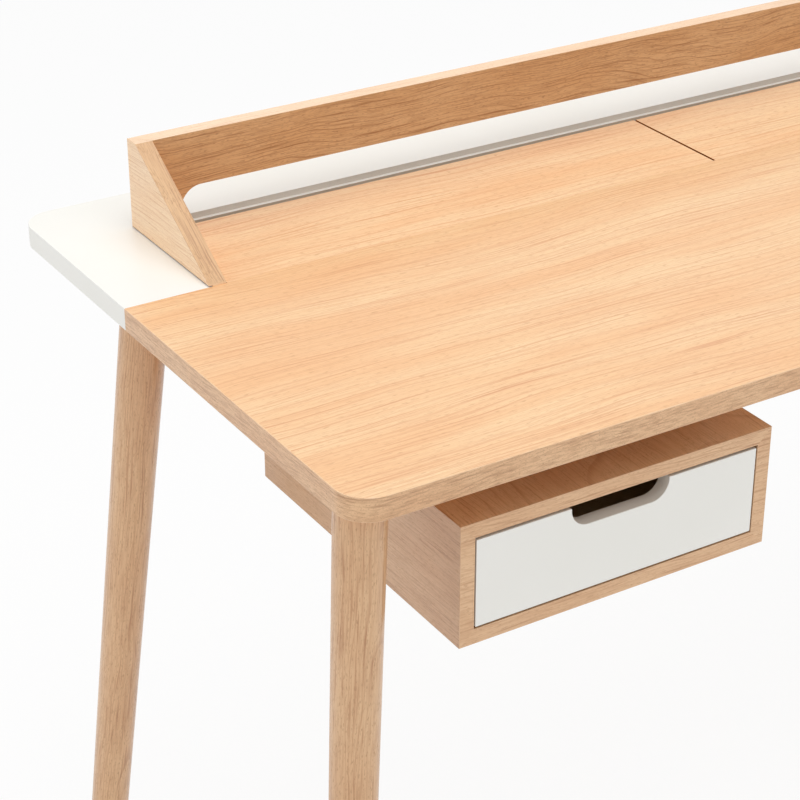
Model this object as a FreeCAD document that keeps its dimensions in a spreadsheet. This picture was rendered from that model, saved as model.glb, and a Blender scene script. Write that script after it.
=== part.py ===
"""Writing desk in oak and white board: a low gallery with two lids over a compartment, and a hung drawer.

X runs to the right, Y to the back and Z up, in millimetres. The origin is on the floor, under the middle of
the desk's overall box. Every place below is a formula in the named sizes.
"""
import FreeCAD, Part
import Sketcher
import itertools
import math
import os
import re

SIZES = {
    # Top: an oak front board and a white rear board, edge to edge
    "desk_width": 1500,
    "desk_height": 750,
    "top_board": 25,
    "front_board_depth": 452,
    "rear_strip_depth": 89.5,
    "corner_radius": 35,
    "arris_radius": 1,
    # Bearers that tie the two boards together from below
    "bearer_leg_gap": 4,
    "bearer_width": 22,
    "bearer_height": 40,
    "bearer_front_setback": 90,
    "bearer_back_setback": 40,
    # Gallery: raking ends and a back panel with a long cut-out
    "gallery_inset": 95,
    "gallery_board": 20,
    "gallery_height": 102,
    "gallery_tip": 2,
    "cutout_height": 40.8,
    "cutout_leg": 30,
    "cutout_radius": 25,
    "shadow_line_height": 1.2,
    "shadow_line_depth": 4,
    # Lids, the slit between them and the slot behind them
    "lid_depth": 152.8,
    "lid_board": 18,
    "lid_end_gap": 1,
    "lid_rear_gap": 6.5,
    "seam_clearance": 0.32,
    # Lid pivots
    "pivot_diameter": 4,
    "pivot_depth": 6,
    "pivot_setback": 20,
    "pivot_reach": 14,
    "pivot_hold": 14,
    "bush_wall": 1,
    "bush_end_room": 1,
    "pivot_plate": 2,
    "pivot_plate_gap": 0.5,
    "pivot_plate_width": 16,
    "pivot_plate_margin": 4,
    "pivot_plate_sink": 20,
    "swing_clearance": 1,
    "buffer_diameter": 4,
    "buffer_height": 1.5,
    # Compartment tray
    "tray_wall": 5.5,
    "tray_case_gap": 2,
    "tray_floor_board": 6,
    "tray_floor_lip": 3,
    "tray_rear_step": 6.7,
    "tray_groove_setback": 8,
    "tray_groove_depth": 8,
    "tray_divider_board": 12,
    # Drawer case
    "case_inset": 118.4,
    "case_setback": 15,
    "case_hang": 42,
    "case_width": 357.3,
    "case_height": 130.2,
    "case_depth": 373,
    "case_board": 16,
    "case_back_board": 8,
    "spacer_width": 40,
    "spacer_end_setback": 20,
    "spacer_front_setback": 80,
    "spacer_rear_setback": 40,
    # Drawer and its runners
    "front_side_gap": 1.5,
    "front_bottom_gap": 2,
    "front_top_gap": 3.1,
    "drawer_front_board": 16,
    "notch_width": 112.5,
    "notch_depth": 21.8,
    "notch_radius": 20,
    "drawer_side_board": 14,
    "drawer_side_height": 70,
    "drawer_side_gap": 2,
    "drawer_back_board": 12,
    "drawer_bottom_board": 5,
    "drawer_bottom_rise": 8,
    "drawer_groove_depth": 5,
    "runner_height": 14,
    "runner_let_in": 6,
    "runner_clearance": 0.3,
    "runner_front_setback": 30,
    "runner_rear_setback": 12,
    "stop_diameter": 10,
    "stop_height": 3,
    # Legs, splayed along the diagonals
    "leg_top_diameter": 50,
    "leg_foot_diameter": 41,
    "leg_splay_angle": 7.1,
    "leg_side_inset": 34.5,
    "leg_front_setback": 47.5,
    "leg_seam_setback": 28,
    "glide_diameter": 30,
    "glide_height": 4,
    "bolt_diameter": 8,
    "bolt_in_leg": 40,
    "bolt_in_top": 14,
    "insert_wall": 2,
    "insert_end_room": 2,
    # Dowels and screws
    "dowel_diameter": 8,
    "dowel_length": 36,
    "small_dowel_diameter": 6,
    "small_dowel_length": 16,
    "case_dowel_diameter": 4,
    "case_dowel_length": 12,
    "screw_diameter": 5,
    "screw_head_diameter": 9,
    "screw_head_height": 3,
    "screw_bite": 15,
    "small_screw_diameter": 3,
    "small_screw_head_diameter": 5.5,
    "small_screw_head_height": 2,
    "small_screw_bite": 10,
    # Clearances
    "fit_gap": 0.05,
    "running_gap": 0.05,
    "seat_gap": 0.3,
    "end_gap": 0.5,
    "cut_overrun": 10,
}

# Shares of the carrying piece's length at which its fasteners stand
board_dowel_shares = (0.48, 0.74)
bearer_screw_shares = (0.08, 0.45, 0.75, 0.95)
gallery_dowel_shares = (0.45, 0.85)
gallery_corner_shares = (0.22, 0.78)
case_dowel_shares = (0.12, 0.88)
case_bolt_shares = (0.15, 0.85)
runner_screw_shares = (0.1, 0.5, 0.9)
stop_shares = (0.2, 0.8)
drawer_dowel_shares = (0.3, 0.85)
runner_height_share = 0.57
tray_screw_shares = (0.08, 0.36, 0.64, 0.92)
buffer_share = 0.8

# Places worked out from the sizes; each formula may use the ones above it
PLACES = {
    "half_width": "desk_width / 2",
    "pivot_bulge": "sqrt(pivot_setback ^ 2 + pivot_depth ^ 2) - pivot_setback",
    "seam_gap": "pivot_bulge + seam_clearance",
    "slot_width": "gallery_board + lid_rear_gap",
    "lid_slit": "pivot_plate + 2 * pivot_plate_gap",
    "desk_depth": "front_board_depth + seam_gap + lid_depth + slot_width + rear_strip_depth",
    "underside_z": "desk_height - top_board",
    "leg_drop": "underside_z - glide_height",
    "insert_length": "bolt_in_top + insert_end_room",
    "leg_slope": "tan(leg_splay_angle)",
    "foot_step": "leg_drop * leg_slope / sqrt(2)",
    "foot_reach": "foot_step + leg_foot_diameter / 2 * sqrt(1 + leg_slope ^ 2 / 2) - leg_front_setback",
    "front_y": "(foot_reach - desk_depth) / 2",
    "seam_y": "front_y + front_board_depth",
    "back_y": "front_y + desk_depth",
    "lid_front_y": "seam_y + seam_gap",
    "lid_back_y": "lid_front_y + lid_depth",
    "opening_back_y": "lid_back_y + slot_width",
    "shelf_y": "opening_back_y - gallery_board",
    "gallery_half": "half_width - gallery_inset",
    "opening_half": "gallery_half - gallery_board",
    "gallery_run": "opening_back_y - seam_y",
    "cutout_round": "min(cutout_radius; cutout_height - arris_radius)",
    "lid_outer_x": "opening_half - lid_end_gap",
    "lid_inner_x": "lid_slit / 2",
    "pivot_y": "lid_front_y + pivot_setback",
    "pivot_z": "desk_height - pivot_depth",
    "pivot_swing": "sqrt(pivot_setback ^ 2 + (lid_board - pivot_depth) ^ 2) + swing_clearance",
    "bush_diameter": "pivot_diameter + 2 * running_gap + 2 * bush_wall",
    "bush_length": "pivot_reach + bush_end_room",
    "lid_seat_z": "desk_height - lid_board - seat_gap - buffer_height",
    "dip_y": "pivot_y + pivot_swing",
    "dip_z": "min(pivot_z - pivot_swing; underside_z)",
    "tray_front_y": "seam_y - tray_groove_setback",
    "tray_back_y": "opening_back_y - tray_wall",
    "tray_bottom_z": "underside_z - case_hang + tray_case_gap",
    "tray_floor_z": "tray_bottom_z + tray_floor_board",
    "bearer_high_x": "half_width - leg_side_inset - leg_top_diameter / 2 - bearer_leg_gap",
    "bearer_low_x": "bearer_high_x - bearer_width",
    "bearer_front_y": "front_y + bearer_front_setback",
    "bearer_back_y": "back_y - bearer_back_setback",
    "case_x": "case_inset - half_width",
    "case_mid_x": "case_x + case_width / 2",
    "case_half": "case_width / 2 - case_board",
    "case_y": "front_y + case_setback",
    "case_back_y": "case_y + case_depth - case_back_board",
    "case_top_z": "underside_z - case_hang",
    "case_z": "case_top_z - case_height",
    "drawer_z": "case_z + case_board + front_bottom_gap",
    "drawer_front_half": "case_half - front_side_gap",
    "drawer_front_height": "case_height - 2 * case_board - front_bottom_gap - front_top_gap",
    "notch_round": "min(notch_radius; notch_depth - arris_radius)",
    "drawer_half": "case_half - drawer_side_gap",
    "drawer_inner_half": "drawer_half - drawer_side_board",
    "drawer_box_y": "case_y + drawer_front_board",
    "drawer_end_y": "case_back_y - stop_height - seat_gap",
    "runner_z": "drawer_z + drawer_side_height * runner_height_share",
    "runner_y": "drawer_box_y + runner_front_setback",
    "runner_end_y": "case_back_y - runner_rear_setback",
    "runner_face": "drawer_half - runner_let_in",
}

# Two places nearer than this are one place
same_place = 1e-6

# Axis and degrees that turn an upright bar to point along each way
TURNS = {
    "+x": ((0, 1, 0), 90),
    "-x": ((0, 1, 0), -90),
    "+y": ((1, 0, 0), -90),
    "-y": ((1, 0, 0), 90),
    "+z": ((0, 0, 1), 0),
    "-z": ((1, 0, 0), 180),
}

doc = FreeCAD.newDocument("writing_desk")
sheet = doc.addObject("Spreadsheet::Sheet", "sizes")
nodes = []


def fill_sheet():
    """Write the driving sizes as plain numbers, then the places worked out from them."""
    rows = [(name, str(value)) for name, value in SIZES.items()]
    rows.append(("runner_height_share", str(runner_height_share)))
    rows += [(name, "=" + text) for name, text in PLACES.items()]
    for row, (name, text) in enumerate(rows, start=1):
        sheet.set(f"A{row}", name)
        sheet.set(f"B{row}", text)
        sheet.setAlias(f"B{row}", name)
    doc.recompute()


def formula(text):
    """Formula whose named sizes point at the sheet's cells."""
    return re.sub(r"\b[a-z]+_[a-z_]+\b", lambda name: "sizes." + name.group(0), text)


def number(text):
    """Present value of a formula."""
    return float(sheet.evalExpression(formula(text)))


def bind(item, path, text):
    """Tie one size or place of a document object to a formula."""
    item.setExpression(path, formula(text))


def place(item, x, y, z):
    """Tie an object's place to three formulas."""
    for axis, text in zip("xyz", (x, y, z)):
        bind(item, f"Placement.Base.{axis}", text)
    return item


def node(label, item):
    """Name a finished piece and keep it for writing."""
    item.Label = label
    nodes.append(item)
    return item


def on_side(side, low, high):
    """Stretch along X on the right of the middle plane, or its mirror image on the left."""
    return (low, high) if side > 0 else (f"-({high})", f"-({low})")


def box(name, x, y, z):
    """Square block between low and high formulas along X, Y and Z."""
    block = doc.addObject("Part::Box", name)
    for size, (low, high) in zip(("Length", "Width", "Height"), (x, y, z)):
        bind(block, size, f"({high}) - ({low})")
    return place(block, x[0], y[0], z[0])


def rod(name, at, way, diameter, length, play=None, end_play=None):
    """Round bar from a point along one way; play widens it and end_play lengthens both its ends."""
    bar = doc.addObject("Part::Cylinder", name)
    axis, degrees = TURNS[way]
    bar.Placement = FreeCAD.Placement(FreeCAD.Vector(), FreeCAD.Rotation(FreeCAD.Vector(*axis), degrees))
    start = list(at)
    if end_play:
        back = "-" if way[0] == "+" else "+"
        index = "xyz".index(way[1])
        start[index] = f"({start[index]}) {back} ({end_play})"
    bind(bar, "Radius", f"({diameter}) / 2" + (f" + {play}" if play else ""))
    bind(bar, "Height", f"({length})" + (f" + 2 * ({end_play})" if end_play else ""))
    return place(bar, *start)


def slant_dowel(name, middle, way, size, play=None):
    """Dowel square to a mitre, centred on a point; way holds the signs of its run along X, Y and Z."""
    bar = doc.addObject("Part::Cylinder", name)
    turn = FreeCAD.Rotation(FreeCAD.Vector(0, 0, 1), FreeCAD.Vector(*way))
    bar.Placement = FreeCAD.Placement(FreeCAD.Vector(), turn)
    spread = f" + {play}" if play else ""
    half = f"({size}_length / 2{spread})"
    bind(bar, "Radius", f"{size}_diameter / 2{spread}")
    bind(bar, "Height", f"2 * {half}")
    return place(bar, *(f"{spot} - ({sign}) * {half} / sqrt(2)" for spot, sign in zip(middle, way)))


def joined(name, items):
    """One solid from touching items, or one tool from several."""
    if len(items) == 1:
        return items[0]
    whole = doc.addObject("Part::MultiFuse", name)
    whole.Shapes = items
    return whole


def group(label, items):
    """Several like solids kept as one piece of the list."""
    whole = doc.addObject("Part::Compound", label)
    whole.Links = items
    return node(label, whole)


def cut(label, base, tools):
    """Base less every tool, as a finished piece."""
    piece = doc.addObject("Part::Cut", label)
    piece.Base = base
    piece.Tool = joined(label + "_tools", tools)
    return node(label, piece)


def screw(name, at, way, length, small=False):
    """Screw with a round head whose outer face is at the point, running along one way."""
    size = "small_screw" if small else "screw"
    shank = rod(name + "_shank", at, way, f"{size}_diameter", length)
    head = rod(name + "_head", at, way, f"{size}_head_diameter", f"{size}_head_height")
    return joined(name, [shank, head])


def screw_hole(name, at, way, length, small=False, sunk=True):
    """Tools for a screw's hole, and for its head where that is let in."""
    size = "small_screw" if small else "screw"
    tools = [rod(name + "_hole", at, way, f"{size}_diameter", length, "fit_gap", "end_gap")]
    if sunk:
        depth = f"{size}_head_height"
        tools.append(rod(name + "_sink", at, way, f"{size}_head_diameter", depth, "fit_gap"))
    return tools


def outline(body, plane, points):
    """Closed sketch on an origin plane of the body, each corner tied to a pair of formulas."""
    sketch = body.newObject("Sketcher::SketchObject", "outline")
    origin = next(item for item in body.Origin.OriginFeatures if item.Role == plane)
    sketch.AttachmentSupport = [(origin, "")]
    sketch.MapMode = "FlatFace"
    corners = [FreeCAD.Vector(number(u), number(v), 0) for u, v in points]
    count = len(corners)
    for index in range(count):
        sketch.addGeometry(Part.LineSegment(corners[index], corners[(index + 1) % count]), False)
    for index, point in enumerate(points):
        sketch.addConstraint(Sketcher.Constraint("Coincident", index, 2, (index + 1) % count, 1))
        for kind, text in zip(("DistanceX", "DistanceY"), point):
            row = sketch.addConstraint(Sketcher.Constraint(kind, -1, 1, index, 1, number(text)))
            bind(sketch, f"Constraints[{row}]", text)
    return sketch


def padded(name, plane, points, length, reverse=False):
    """Body made by pushing an outline off its plane."""
    body = doc.addObject("PartDesign::Body", name)
    profile = outline(body, plane, points)
    pad = body.newObject("PartDesign::Pad", "pad")
    pad.Profile = profile
    pad.Reversed = reverse
    bind(pad, "Length", length)
    doc.recompute()
    return body


def pocketed(body, plane, points, length, reverse=False):
    """Cut an outline into the body, and make sure that it took material away."""
    before = body.Shape.Volume
    profile = outline(body, plane, points)
    pocket = body.newObject("PartDesign::Pocket", "pocket")
    pocket.Profile = profile
    pocket.Reversed = reverse
    bind(pocket, "Length", length)
    doc.recompute()
    if body.Shape.Volume >= before:
        raise ValueError(f"{body.Name}: the pocket cuts nothing")
    return body


def rounded(body, radius, chosen):
    """Round the edges of the body that the test picks."""
    base = body.Tip
    names = [f"Edge{index}" for index, edge in enumerate(base.Shape.Edges, start=1) if chosen(edge)]
    fillet = body.newObject("PartDesign::Fillet", "rounding")
    fillet.Base = (base, names)
    bind(fillet, "Radius", radius)
    doc.recompute()
    return body


def same(first, second):
    """Whether two places are one, apart from rounding."""
    return math.isclose(first, second, abs_tol=same_place)


def edge_along(axis, *spots):
    """Test for a straight edge along an axis that passes one of the spots on the other two axes."""
    others = [index for index in range(3) if index != axis]

    def test(edge):
        ends = [vertex.Point for vertex in edge.Vertexes]
        if len(ends) != 2 or not all(same(ends[0][i], ends[1][i]) for i in others):
            return False
        return any(all(same(ends[0][i], value) for i, value in zip(others, spot)) for spot in spots)
    return test


def level_edge(levels, seam):
    """Test for an edge that lies at one of the levels, apart from those along the seam."""
    def test(edge):
        bounds = edge.BoundBox
        flat = any(same(bounds.ZMin, z) and same(bounds.ZMax, z) for z in levels)
        return flat and not (same(bounds.YMin, seam) and same(bounds.YMax, seam))
    return test


def leg_spot(side, rear):
    """Formulas of the point where a leg's axis meets the top."""
    y = "seam_y + leg_seam_setback" if rear else "front_y + leg_front_setback"
    return f"{side} * (half_width - leg_side_inset)", y


CORNERS = {
    "front_left": (-1, False, -135),
    "front_right": (1, False, -45),
    "rear_left": (-1, True, 135),
    "rear_right": (1, True, 45),
}


def build_legs():
    """Four tapered legs, cut level at both ends, with bolts, inserts and glides; returns insert holes."""
    bolts, inserts, glides, holes = [], [], [], {False: [], True: []}
    axis_length = "(leg_drop / cos(leg_splay_angle))"
    taper = f"((leg_top_diameter - leg_foot_diameter) / 2 / {axis_length} * cut_overrun)"
    for corner, (side, rear, degrees) in CORNERS.items():
        x, y = leg_spot(side, rear)
        cone = doc.addObject("Part::Cone", f"leg_{corner}_cone")
        lean = FreeCAD.Rotation(FreeCAD.Vector(0, -1, 0), number("leg_splay_angle"))
        cone.Placement = FreeCAD.Placement(FreeCAD.Vector(), lean)
        bind(cone, "Radius1", f"leg_foot_diameter / 2 - {taper}")
        bind(cone, "Radius2", f"leg_top_diameter / 2 + {taper}")
        bind(cone, "Height", f"{axis_length} + 2 * cut_overrun")
        bind(cone, "Placement.Rotation.Angle", "leg_splay_angle")
        place(cone, "leg_drop * leg_slope + cut_overrun * sin(leg_splay_angle)", "0",
              "-leg_drop - cut_overrun * cos(leg_splay_angle)")
        slab = box(f"leg_{corner}_slab", ("-leg_top_diameter", "leg_drop * leg_slope + leg_top_diameter"),
                   ("-leg_top_diameter", "leg_top_diameter"), ("-leg_drop", "0"))
        level = doc.addObject("Part::Common", f"leg_{corner}_level")
        level.Base = cone
        level.Tool = slab
        hole = rod(f"leg_{corner}_hole", ("0", "0", "0"), "-z", "bolt_diameter", "bolt_in_leg", "fit_gap",
                   "end_gap")
        leg = cut(f"leg_{corner}", level, [hole])
        heading = FreeCAD.Rotation(FreeCAD.Vector(0, 0, 1), degrees)
        leg.Placement = FreeCAD.Placement(FreeCAD.Vector(), heading)
        place(leg, x, y, "underside_z")
        bolts.append(rod(f"bolt_{corner}", (x, y, "underside_z - bolt_in_leg"), "+z", "bolt_diameter",
                         "bolt_in_leg + bolt_in_top"))
        outer = "bolt_diameter + 2 * fit_gap + 2 * insert_wall"
        sleeve = doc.addObject("Part::Cut", f"insert_{corner}")
        sleeve.Base = rod(f"insert_{corner}_outer", (x, y, "underside_z"), "+z", outer, "insert_length")
        sleeve.Tool = rod(f"insert_{corner}_bore", (x, y, "underside_z"), "+z", "bolt_diameter",
                          "insert_length", "fit_gap", "end_gap")
        inserts.append(sleeve)
        holes[rear].append(rod(f"insert_{corner}_hole", (x, y, "underside_z"), "+z", outer, "insert_length",
                               "fit_gap", "end_gap"))
        step = "foot_step" if rear else "-foot_step"
        glides.append(rod(f"glide_{corner}", (f"{x} + {side} * foot_step", f"{y} + {step}", "0"), "+z",
                          "glide_diameter", "glide_height"))
    group("leg_hanger_bolts", bolts)
    group("leg_inserts", inserts)
    group("leg_glides", glides)
    return holes


def build_board_dowels():
    """Dowels across the seam of the two boards; returns their holes."""
    dowels, holes = [], []
    for side in (-1, 1):
        for share in board_dowel_shares:
            x = f"{side} * (half_width - (half_width - opening_half) * {share})"
            at = (x, "seam_y - dowel_length / 2", "desk_height - top_board / 2")
            name = f"board_dowel_{len(dowels)}"
            dowels.append(rod(name, at, "+y", "dowel_diameter", "dowel_length"))
            holes.append(rod(name + "_hole", at, "+y", "dowel_diameter", "dowel_length", "fit_gap",
                             "end_gap"))
    group("board_dowels", dowels)
    return holes


def build_bearers():
    """Two bearers screwed up into the boards; returns the screws' holes."""
    screws, holes = [], []
    length = "(bearer_back_y - bearer_front_y)"
    for side, name in ((-1, "left"), (1, "right")):
        drilled = []
        x = f"{side} * (bearer_low_x + bearer_width / 2)"
        for share in bearer_screw_shares:
            at = (x, f"bearer_front_y + {length} * {share}", "underside_z - bearer_height")
            label = f"bearer_screw_{len(screws)}"
            run = "bearer_height + screw_bite"
            screws.append(screw(label, at, "+z", run))
            drilled += screw_hole(label, at, "+z", run)
        blank = box(f"{name}_bearer_blank", on_side(side, "bearer_low_x", "bearer_high_x"),
                    ("bearer_front_y", "bearer_back_y"), ("underside_z - bearer_height", "underside_z"))
        cut(f"{name}_bearer", blank, drilled)
        holes += drilled
    group("bearer_screws", screws)
    return holes


def build_gallery():
    """Raking ends and a mitred back panel on dowels; returns the holes in the rear board."""
    end_dowels, end_holes, corner_dowels, corner_holes = [], [], [], []
    for side in (-1, 1):
        x = f"{side} * (gallery_half - gallery_board / 2)"
        for share in gallery_dowel_shares:
            at = (x, f"seam_y + gallery_run * {share}", "desk_height - dowel_length / 2")
            name = f"gallery_end_dowel_{len(end_dowels)}"
            end_dowels.append(rod(name, at, "+z", "dowel_diameter", "dowel_length"))
            end_holes.append(rod(name + "_hole", at, "+z", "dowel_diameter", "dowel_length", "fit_gap",
                                 "end_gap"))
        for share in gallery_corner_shares:
            name = f"gallery_corner_dowel_{len(corner_dowels)}"
            middle = (x, "opening_back_y - gallery_board / 2", f"desk_height + gallery_height * {share}")
            corner_dowels.append(slant_dowel(name, middle, (-side, 1, 0), "small_dowel"))
            corner_holes.append(slant_dowel(name + "_hole", middle, (-side, 1, 0), "small_dowel", "fit_gap"))
    profile = [("0", "0"), ("gallery_run", "0"), ("gallery_run", "gallery_height"),
               ("gallery_run - gallery_board", "gallery_height"), ("0", "gallery_tip")]
    body = padded("gallery_end_body", "YZ_Plane", profile, "gallery_board")
    mitre = [("0", "gallery_run"), ("gallery_board", "gallery_run - gallery_board"),
             ("gallery_board + cut_overrun", "gallery_run - gallery_board"),
             ("gallery_board + cut_overrun", "gallery_run + cut_overrun"), ("0", "gallery_run + cut_overrun")]
    pocketed(body, "XY_Plane", mitre, "gallery_height + cut_overrun", reverse=True)
    place(body, "-gallery_half", "seam_y", "desk_height")
    rebate = box("gallery_shadow_line", ("-gallery_half - cut_overrun", "-gallery_half + shadow_line_depth"),
                 ("seam_y - cut_overrun", "opening_back_y + cut_overrun"),
                 ("desk_height - cut_overrun", "desk_height + shadow_line_height"))
    left_end = cut("gallery_left_end", body, [rebate, *end_holes, *corner_holes])
    right_end = doc.addObject("Part::Mirroring", "gallery_right_end")
    right_end.Source = left_end
    right_end.Normal = FreeCAD.Vector(1, 0, 0)
    node("gallery_right_end", right_end)
    plan = [("0", "gallery_board"), ("gallery_board", "0"), ("2 * gallery_half - gallery_board", "0"),
            ("2 * gallery_half", "gallery_board")]
    panel = padded("gallery_back_body", "XY_Plane", plan, "gallery_height")
    low, high = "gallery_board + cutout_leg", "2 * gallery_half - gallery_board - cutout_leg"
    opening = [(low, "0"), (high, "0"), (high, "cutout_height"), (low, "cutout_height")]
    pocketed(panel, "XZ_Plane", opening, "gallery_board + cut_overrun")
    tops = [(number(x), number("cutout_height")) for x in (low, high)]
    rounded(panel, "cutout_round", edge_along(1, *tops))
    place(panel, "-gallery_half", "shelf_y", "desk_height")
    cut("gallery_back_panel", panel, corner_holes)
    group("gallery_end_dowels", end_dowels)
    group("gallery_corner_dowels", corner_dowels)
    return end_holes


def build_lids():
    """Two lids on pivot pins, with bushes, and the plate between them; returns holes in the rear board."""
    outer_pins, board_holes = [], []
    reach = "lid_end_gap + pivot_reach + pivot_hold"
    for side, name in ((-1, "left"), (1, "right")):
        inward, outward = ("-x", "+x") if side > 0 else ("+x", "-x")
        ends = ((f"{side} * lid_outer_x", inward), (f"{side} * lid_inner_x", outward))
        bushes, sockets = [], []
        for index, (x, way) in enumerate(ends):
            at = (x, "pivot_y", "pivot_z")
            label = f"lid_{name}_bush_{index}"
            bush = doc.addObject("Part::Cut", label)
            bush.Base = rod(label + "_outer", at, way, "bush_diameter", "bush_length")
            bush.Tool = rod(label + "_bore", at, way, "pivot_diameter", "bush_length", "running_gap",
                            "end_gap")
            bushes.append(bush)
            sockets.append(rod(label + "_socket", at, way, "bush_diameter", "bush_length", "fit_gap",
                               "end_gap"))
        blank = box(f"lid_{name}_blank", on_side(side, "lid_inner_x", "lid_outer_x"),
                    ("lid_front_y", "lid_back_y"), ("desk_height - lid_board", "desk_height"))
        cut(f"lid_{name}", blank, sockets)
        group(f"lid_{name}_bushes", bushes)
        at = (f"{side} * (opening_half + pivot_hold)", "pivot_y", "pivot_z")
        outer_pins.append(rod(f"lid_{name}_pin", at, inward, "pivot_diameter", reach))
        board_holes.append(rod(f"lid_{name}_pin_hole", at, inward, "pivot_diameter", reach, "fit_gap",
                               "end_gap"))
    group("lid_outer_pins", outer_pins)
    half = "(lid_inner_x + pivot_reach)"
    at = (f"-{half}", "pivot_y", "pivot_z")
    node("lid_centre_pin", rod("lid_centre_pin", at, "+x", "pivot_diameter", f"2 * {half}"))
    plate = box("lid_centre_plate_blank", ("-pivot_plate / 2", "pivot_plate / 2"),
                ("pivot_y - pivot_plate_width / 2", "pivot_y + pivot_plate_width / 2"),
                ("dip_z - pivot_plate_sink", "pivot_z + pivot_plate_margin"))
    cut("lid_centre_plate", plate,
        [rod("lid_centre_plate_hole", at, "+x", "pivot_diameter", f"2 * {half}", "fit_gap")])
    return board_holes


def stepped_wall(label, x, extra=()):
    """Cross wall of the tray under the lids' ends, dipped at the front where the lids swing down."""
    blank = box(label + "_blank", x, ("tray_front_y", "tray_back_y"), ("tray_floor_z", "lid_seat_z"))
    dip = box(label + "_dip", (f"{x[0]} - cut_overrun", f"{x[1]} + cut_overrun"),
              ("tray_front_y - cut_overrun", "dip_y"), ("dip_z", "lid_seat_z + cut_overrun"))
    return cut(label, blank, [dip, *extra])


def build_tray():
    """Compartment under the lids; returns the front wall's groove and the rear wall's screw holes."""
    tray_x = ("-opening_half", "opening_half")
    groove_z = "underside_z + tray_groove_depth"
    front_y = ("tray_front_y - tray_wall", "tray_front_y")
    screws, rear_holes, floor_screws, floor_holes = [], [], [], []
    shelves = {}
    for side, name in ((-1, "left"), (1, "right")):
        across = on_side(side, "opening_half - cutout_leg", "opening_half")
        shelves[side] = box(f"gallery_{name}_shelf", across, ("shelf_y", "opening_back_y"),
                            ("underside_z", "desk_height"))
    for share in tray_screw_shares:
        x = f"opening_half * (2 * {share} - 1)"
        at = (x, "tray_back_y", "desk_height - top_board / 2")
        run = "tray_wall + small_screw_bite"
        label = f"tray_screw_{len(screws)}"
        screws.append(screw(label, at, "+y", run, small=True))
        rear_holes += screw_hole(label, at, "+y", run, small=True)
        for y in ("tray_front_y - tray_wall / 2", "tray_back_y + tray_wall / 2"):
            label = f"tray_floor_screw_{len(floor_screws)}"
            at = (x, y, "tray_bottom_z")
            run = "tray_floor_board + small_screw_bite"
            floor_screws.append(screw(label, at, "+z", run, small=True))
            floor_holes += screw_hole(label, at, "+z", run, small=True)
    cut("tray_front_wall", box("tray_front_blank", tray_x, front_y, ("tray_floor_z", groove_z)), floor_holes)
    rear = box("tray_rear_blank", tray_x, ("tray_back_y", "opening_back_y"),
               ("tray_floor_z", "desk_height - tray_rear_step"))
    cut("tray_rear_wall", rear, [*shelves.values(), *rear_holes, *floor_holes])
    floor_y = (f"{front_y[0]} - tray_floor_lip", "opening_back_y + tray_floor_lip")
    floor = box("tray_floor_blank", tray_x, floor_y, ("tray_bottom_z", "tray_floor_z"))
    cut("tray_floor", floor, floor_holes)
    for side, name in ((-1, "left"), (1, "right")):
        across = on_side(side, "opening_half - tray_wall", "opening_half")
        stepped_wall(f"tray_{name}_wall", across, [shelves[side]])
    kerf = box("tray_divider_kerf", ("-pivot_plate / 2 - fit_gap", "pivot_plate / 2 + fit_gap"),
               ("pivot_y - pivot_plate_width / 2 - fit_gap", "pivot_y + pivot_plate_width / 2 + fit_gap"),
               ("dip_z - pivot_plate_sink", "dip_z + cut_overrun"))
    stepped_wall("tray_divider", ("-tray_divider_board / 2", "tray_divider_board / 2"), [kerf])
    group("tray_screws", screws)
    group("tray_floor_screws", floor_screws)
    buffer_y = f"dip_y + (lid_back_y - dip_y) * {buffer_share}"
    seats = ("opening_half - tray_wall / 2", "(lid_inner_x + tray_divider_board / 2) / 2")
    spots = [f"{side} * ({x})" for side, x in itertools.product((-1, 1), seats)]
    group("lid_buffers", [rod(f"lid_buffer_{index}", (x, buffer_y, "lid_seat_z"), "+z", "buffer_diameter",
                              "buffer_height") for index, x in enumerate(spots)])
    groove = box("tray_groove", ("-opening_half - fit_gap", "opening_half + fit_gap"),
                 (f"{front_y[0]} - fit_gap", f"{front_y[1]} + fit_gap"),
                 ("underside_z - cut_overrun", groove_z))
    return groove, rear_holes


def build_top(leg_holes, dowel_holes, bearer_holes, gallery_holes, lid_holes, groove, tray_holes, case_holes):
    """The oak and the white board, with all that is let into them."""
    plan = [("0", "0"), ("desk_width", "0"), ("desk_width", "front_board_depth"), ("0", "front_board_depth")]
    front = padded("front_board_body", "XY_Plane", plan, "top_board")
    width = number("desk_width")
    levels = (0, number("top_board"))
    rounded(front, "corner_radius", edge_along(2, (0, 0), (width, 0)))
    rounded(front, "arris_radius", level_edge(levels, number("front_board_depth")))
    place(front, "-half_width", "front_y", "underside_z")
    cut("front_board", front, [*leg_holes[False], *dowel_holes, *bearer_holes, groove, *case_holes])
    run, depth = "gallery_run", "(desk_depth - front_board_depth)"
    shelf = "gallery_run - gallery_board"
    low, high = "half_width - opening_half", "half_width + opening_half"
    low_foot, high_foot = f"{low} + cutout_leg", f"{high} - cutout_leg"
    plan = [("0", "0"), (low, "0"), (low, shelf), (low_foot, shelf), (low_foot, run), (high_foot, run),
            (high_foot, shelf), (high, shelf), (high, "0"), ("desk_width", "0"), ("desk_width", depth),
            ("0", depth)]
    rear = padded("rear_board_body", "XY_Plane", plan, "top_board")
    rounded(rear, "corner_radius", edge_along(2, (0, number(depth)), (width, number(depth))))
    inner = (number(low) - number("fit_gap"), number(high) + number("fit_gap"))
    outer_level = level_edge(levels, 0)

    def outer_edge(edge):
        bounds = edge.BoundBox
        inside = bounds.XMin > inner[0] and bounds.XMax < inner[1] and bounds.YMax < number(depth)
        return outer_level(edge) and not inside
    rounded(rear, "arris_radius", outer_edge)
    place(rear, "-half_width", "seam_y", "underside_z")
    cut("rear_board", rear, [*leg_holes[True], *dowel_holes, *bearer_holes, *gallery_holes, *lid_holes,
                             *tray_holes])


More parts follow.
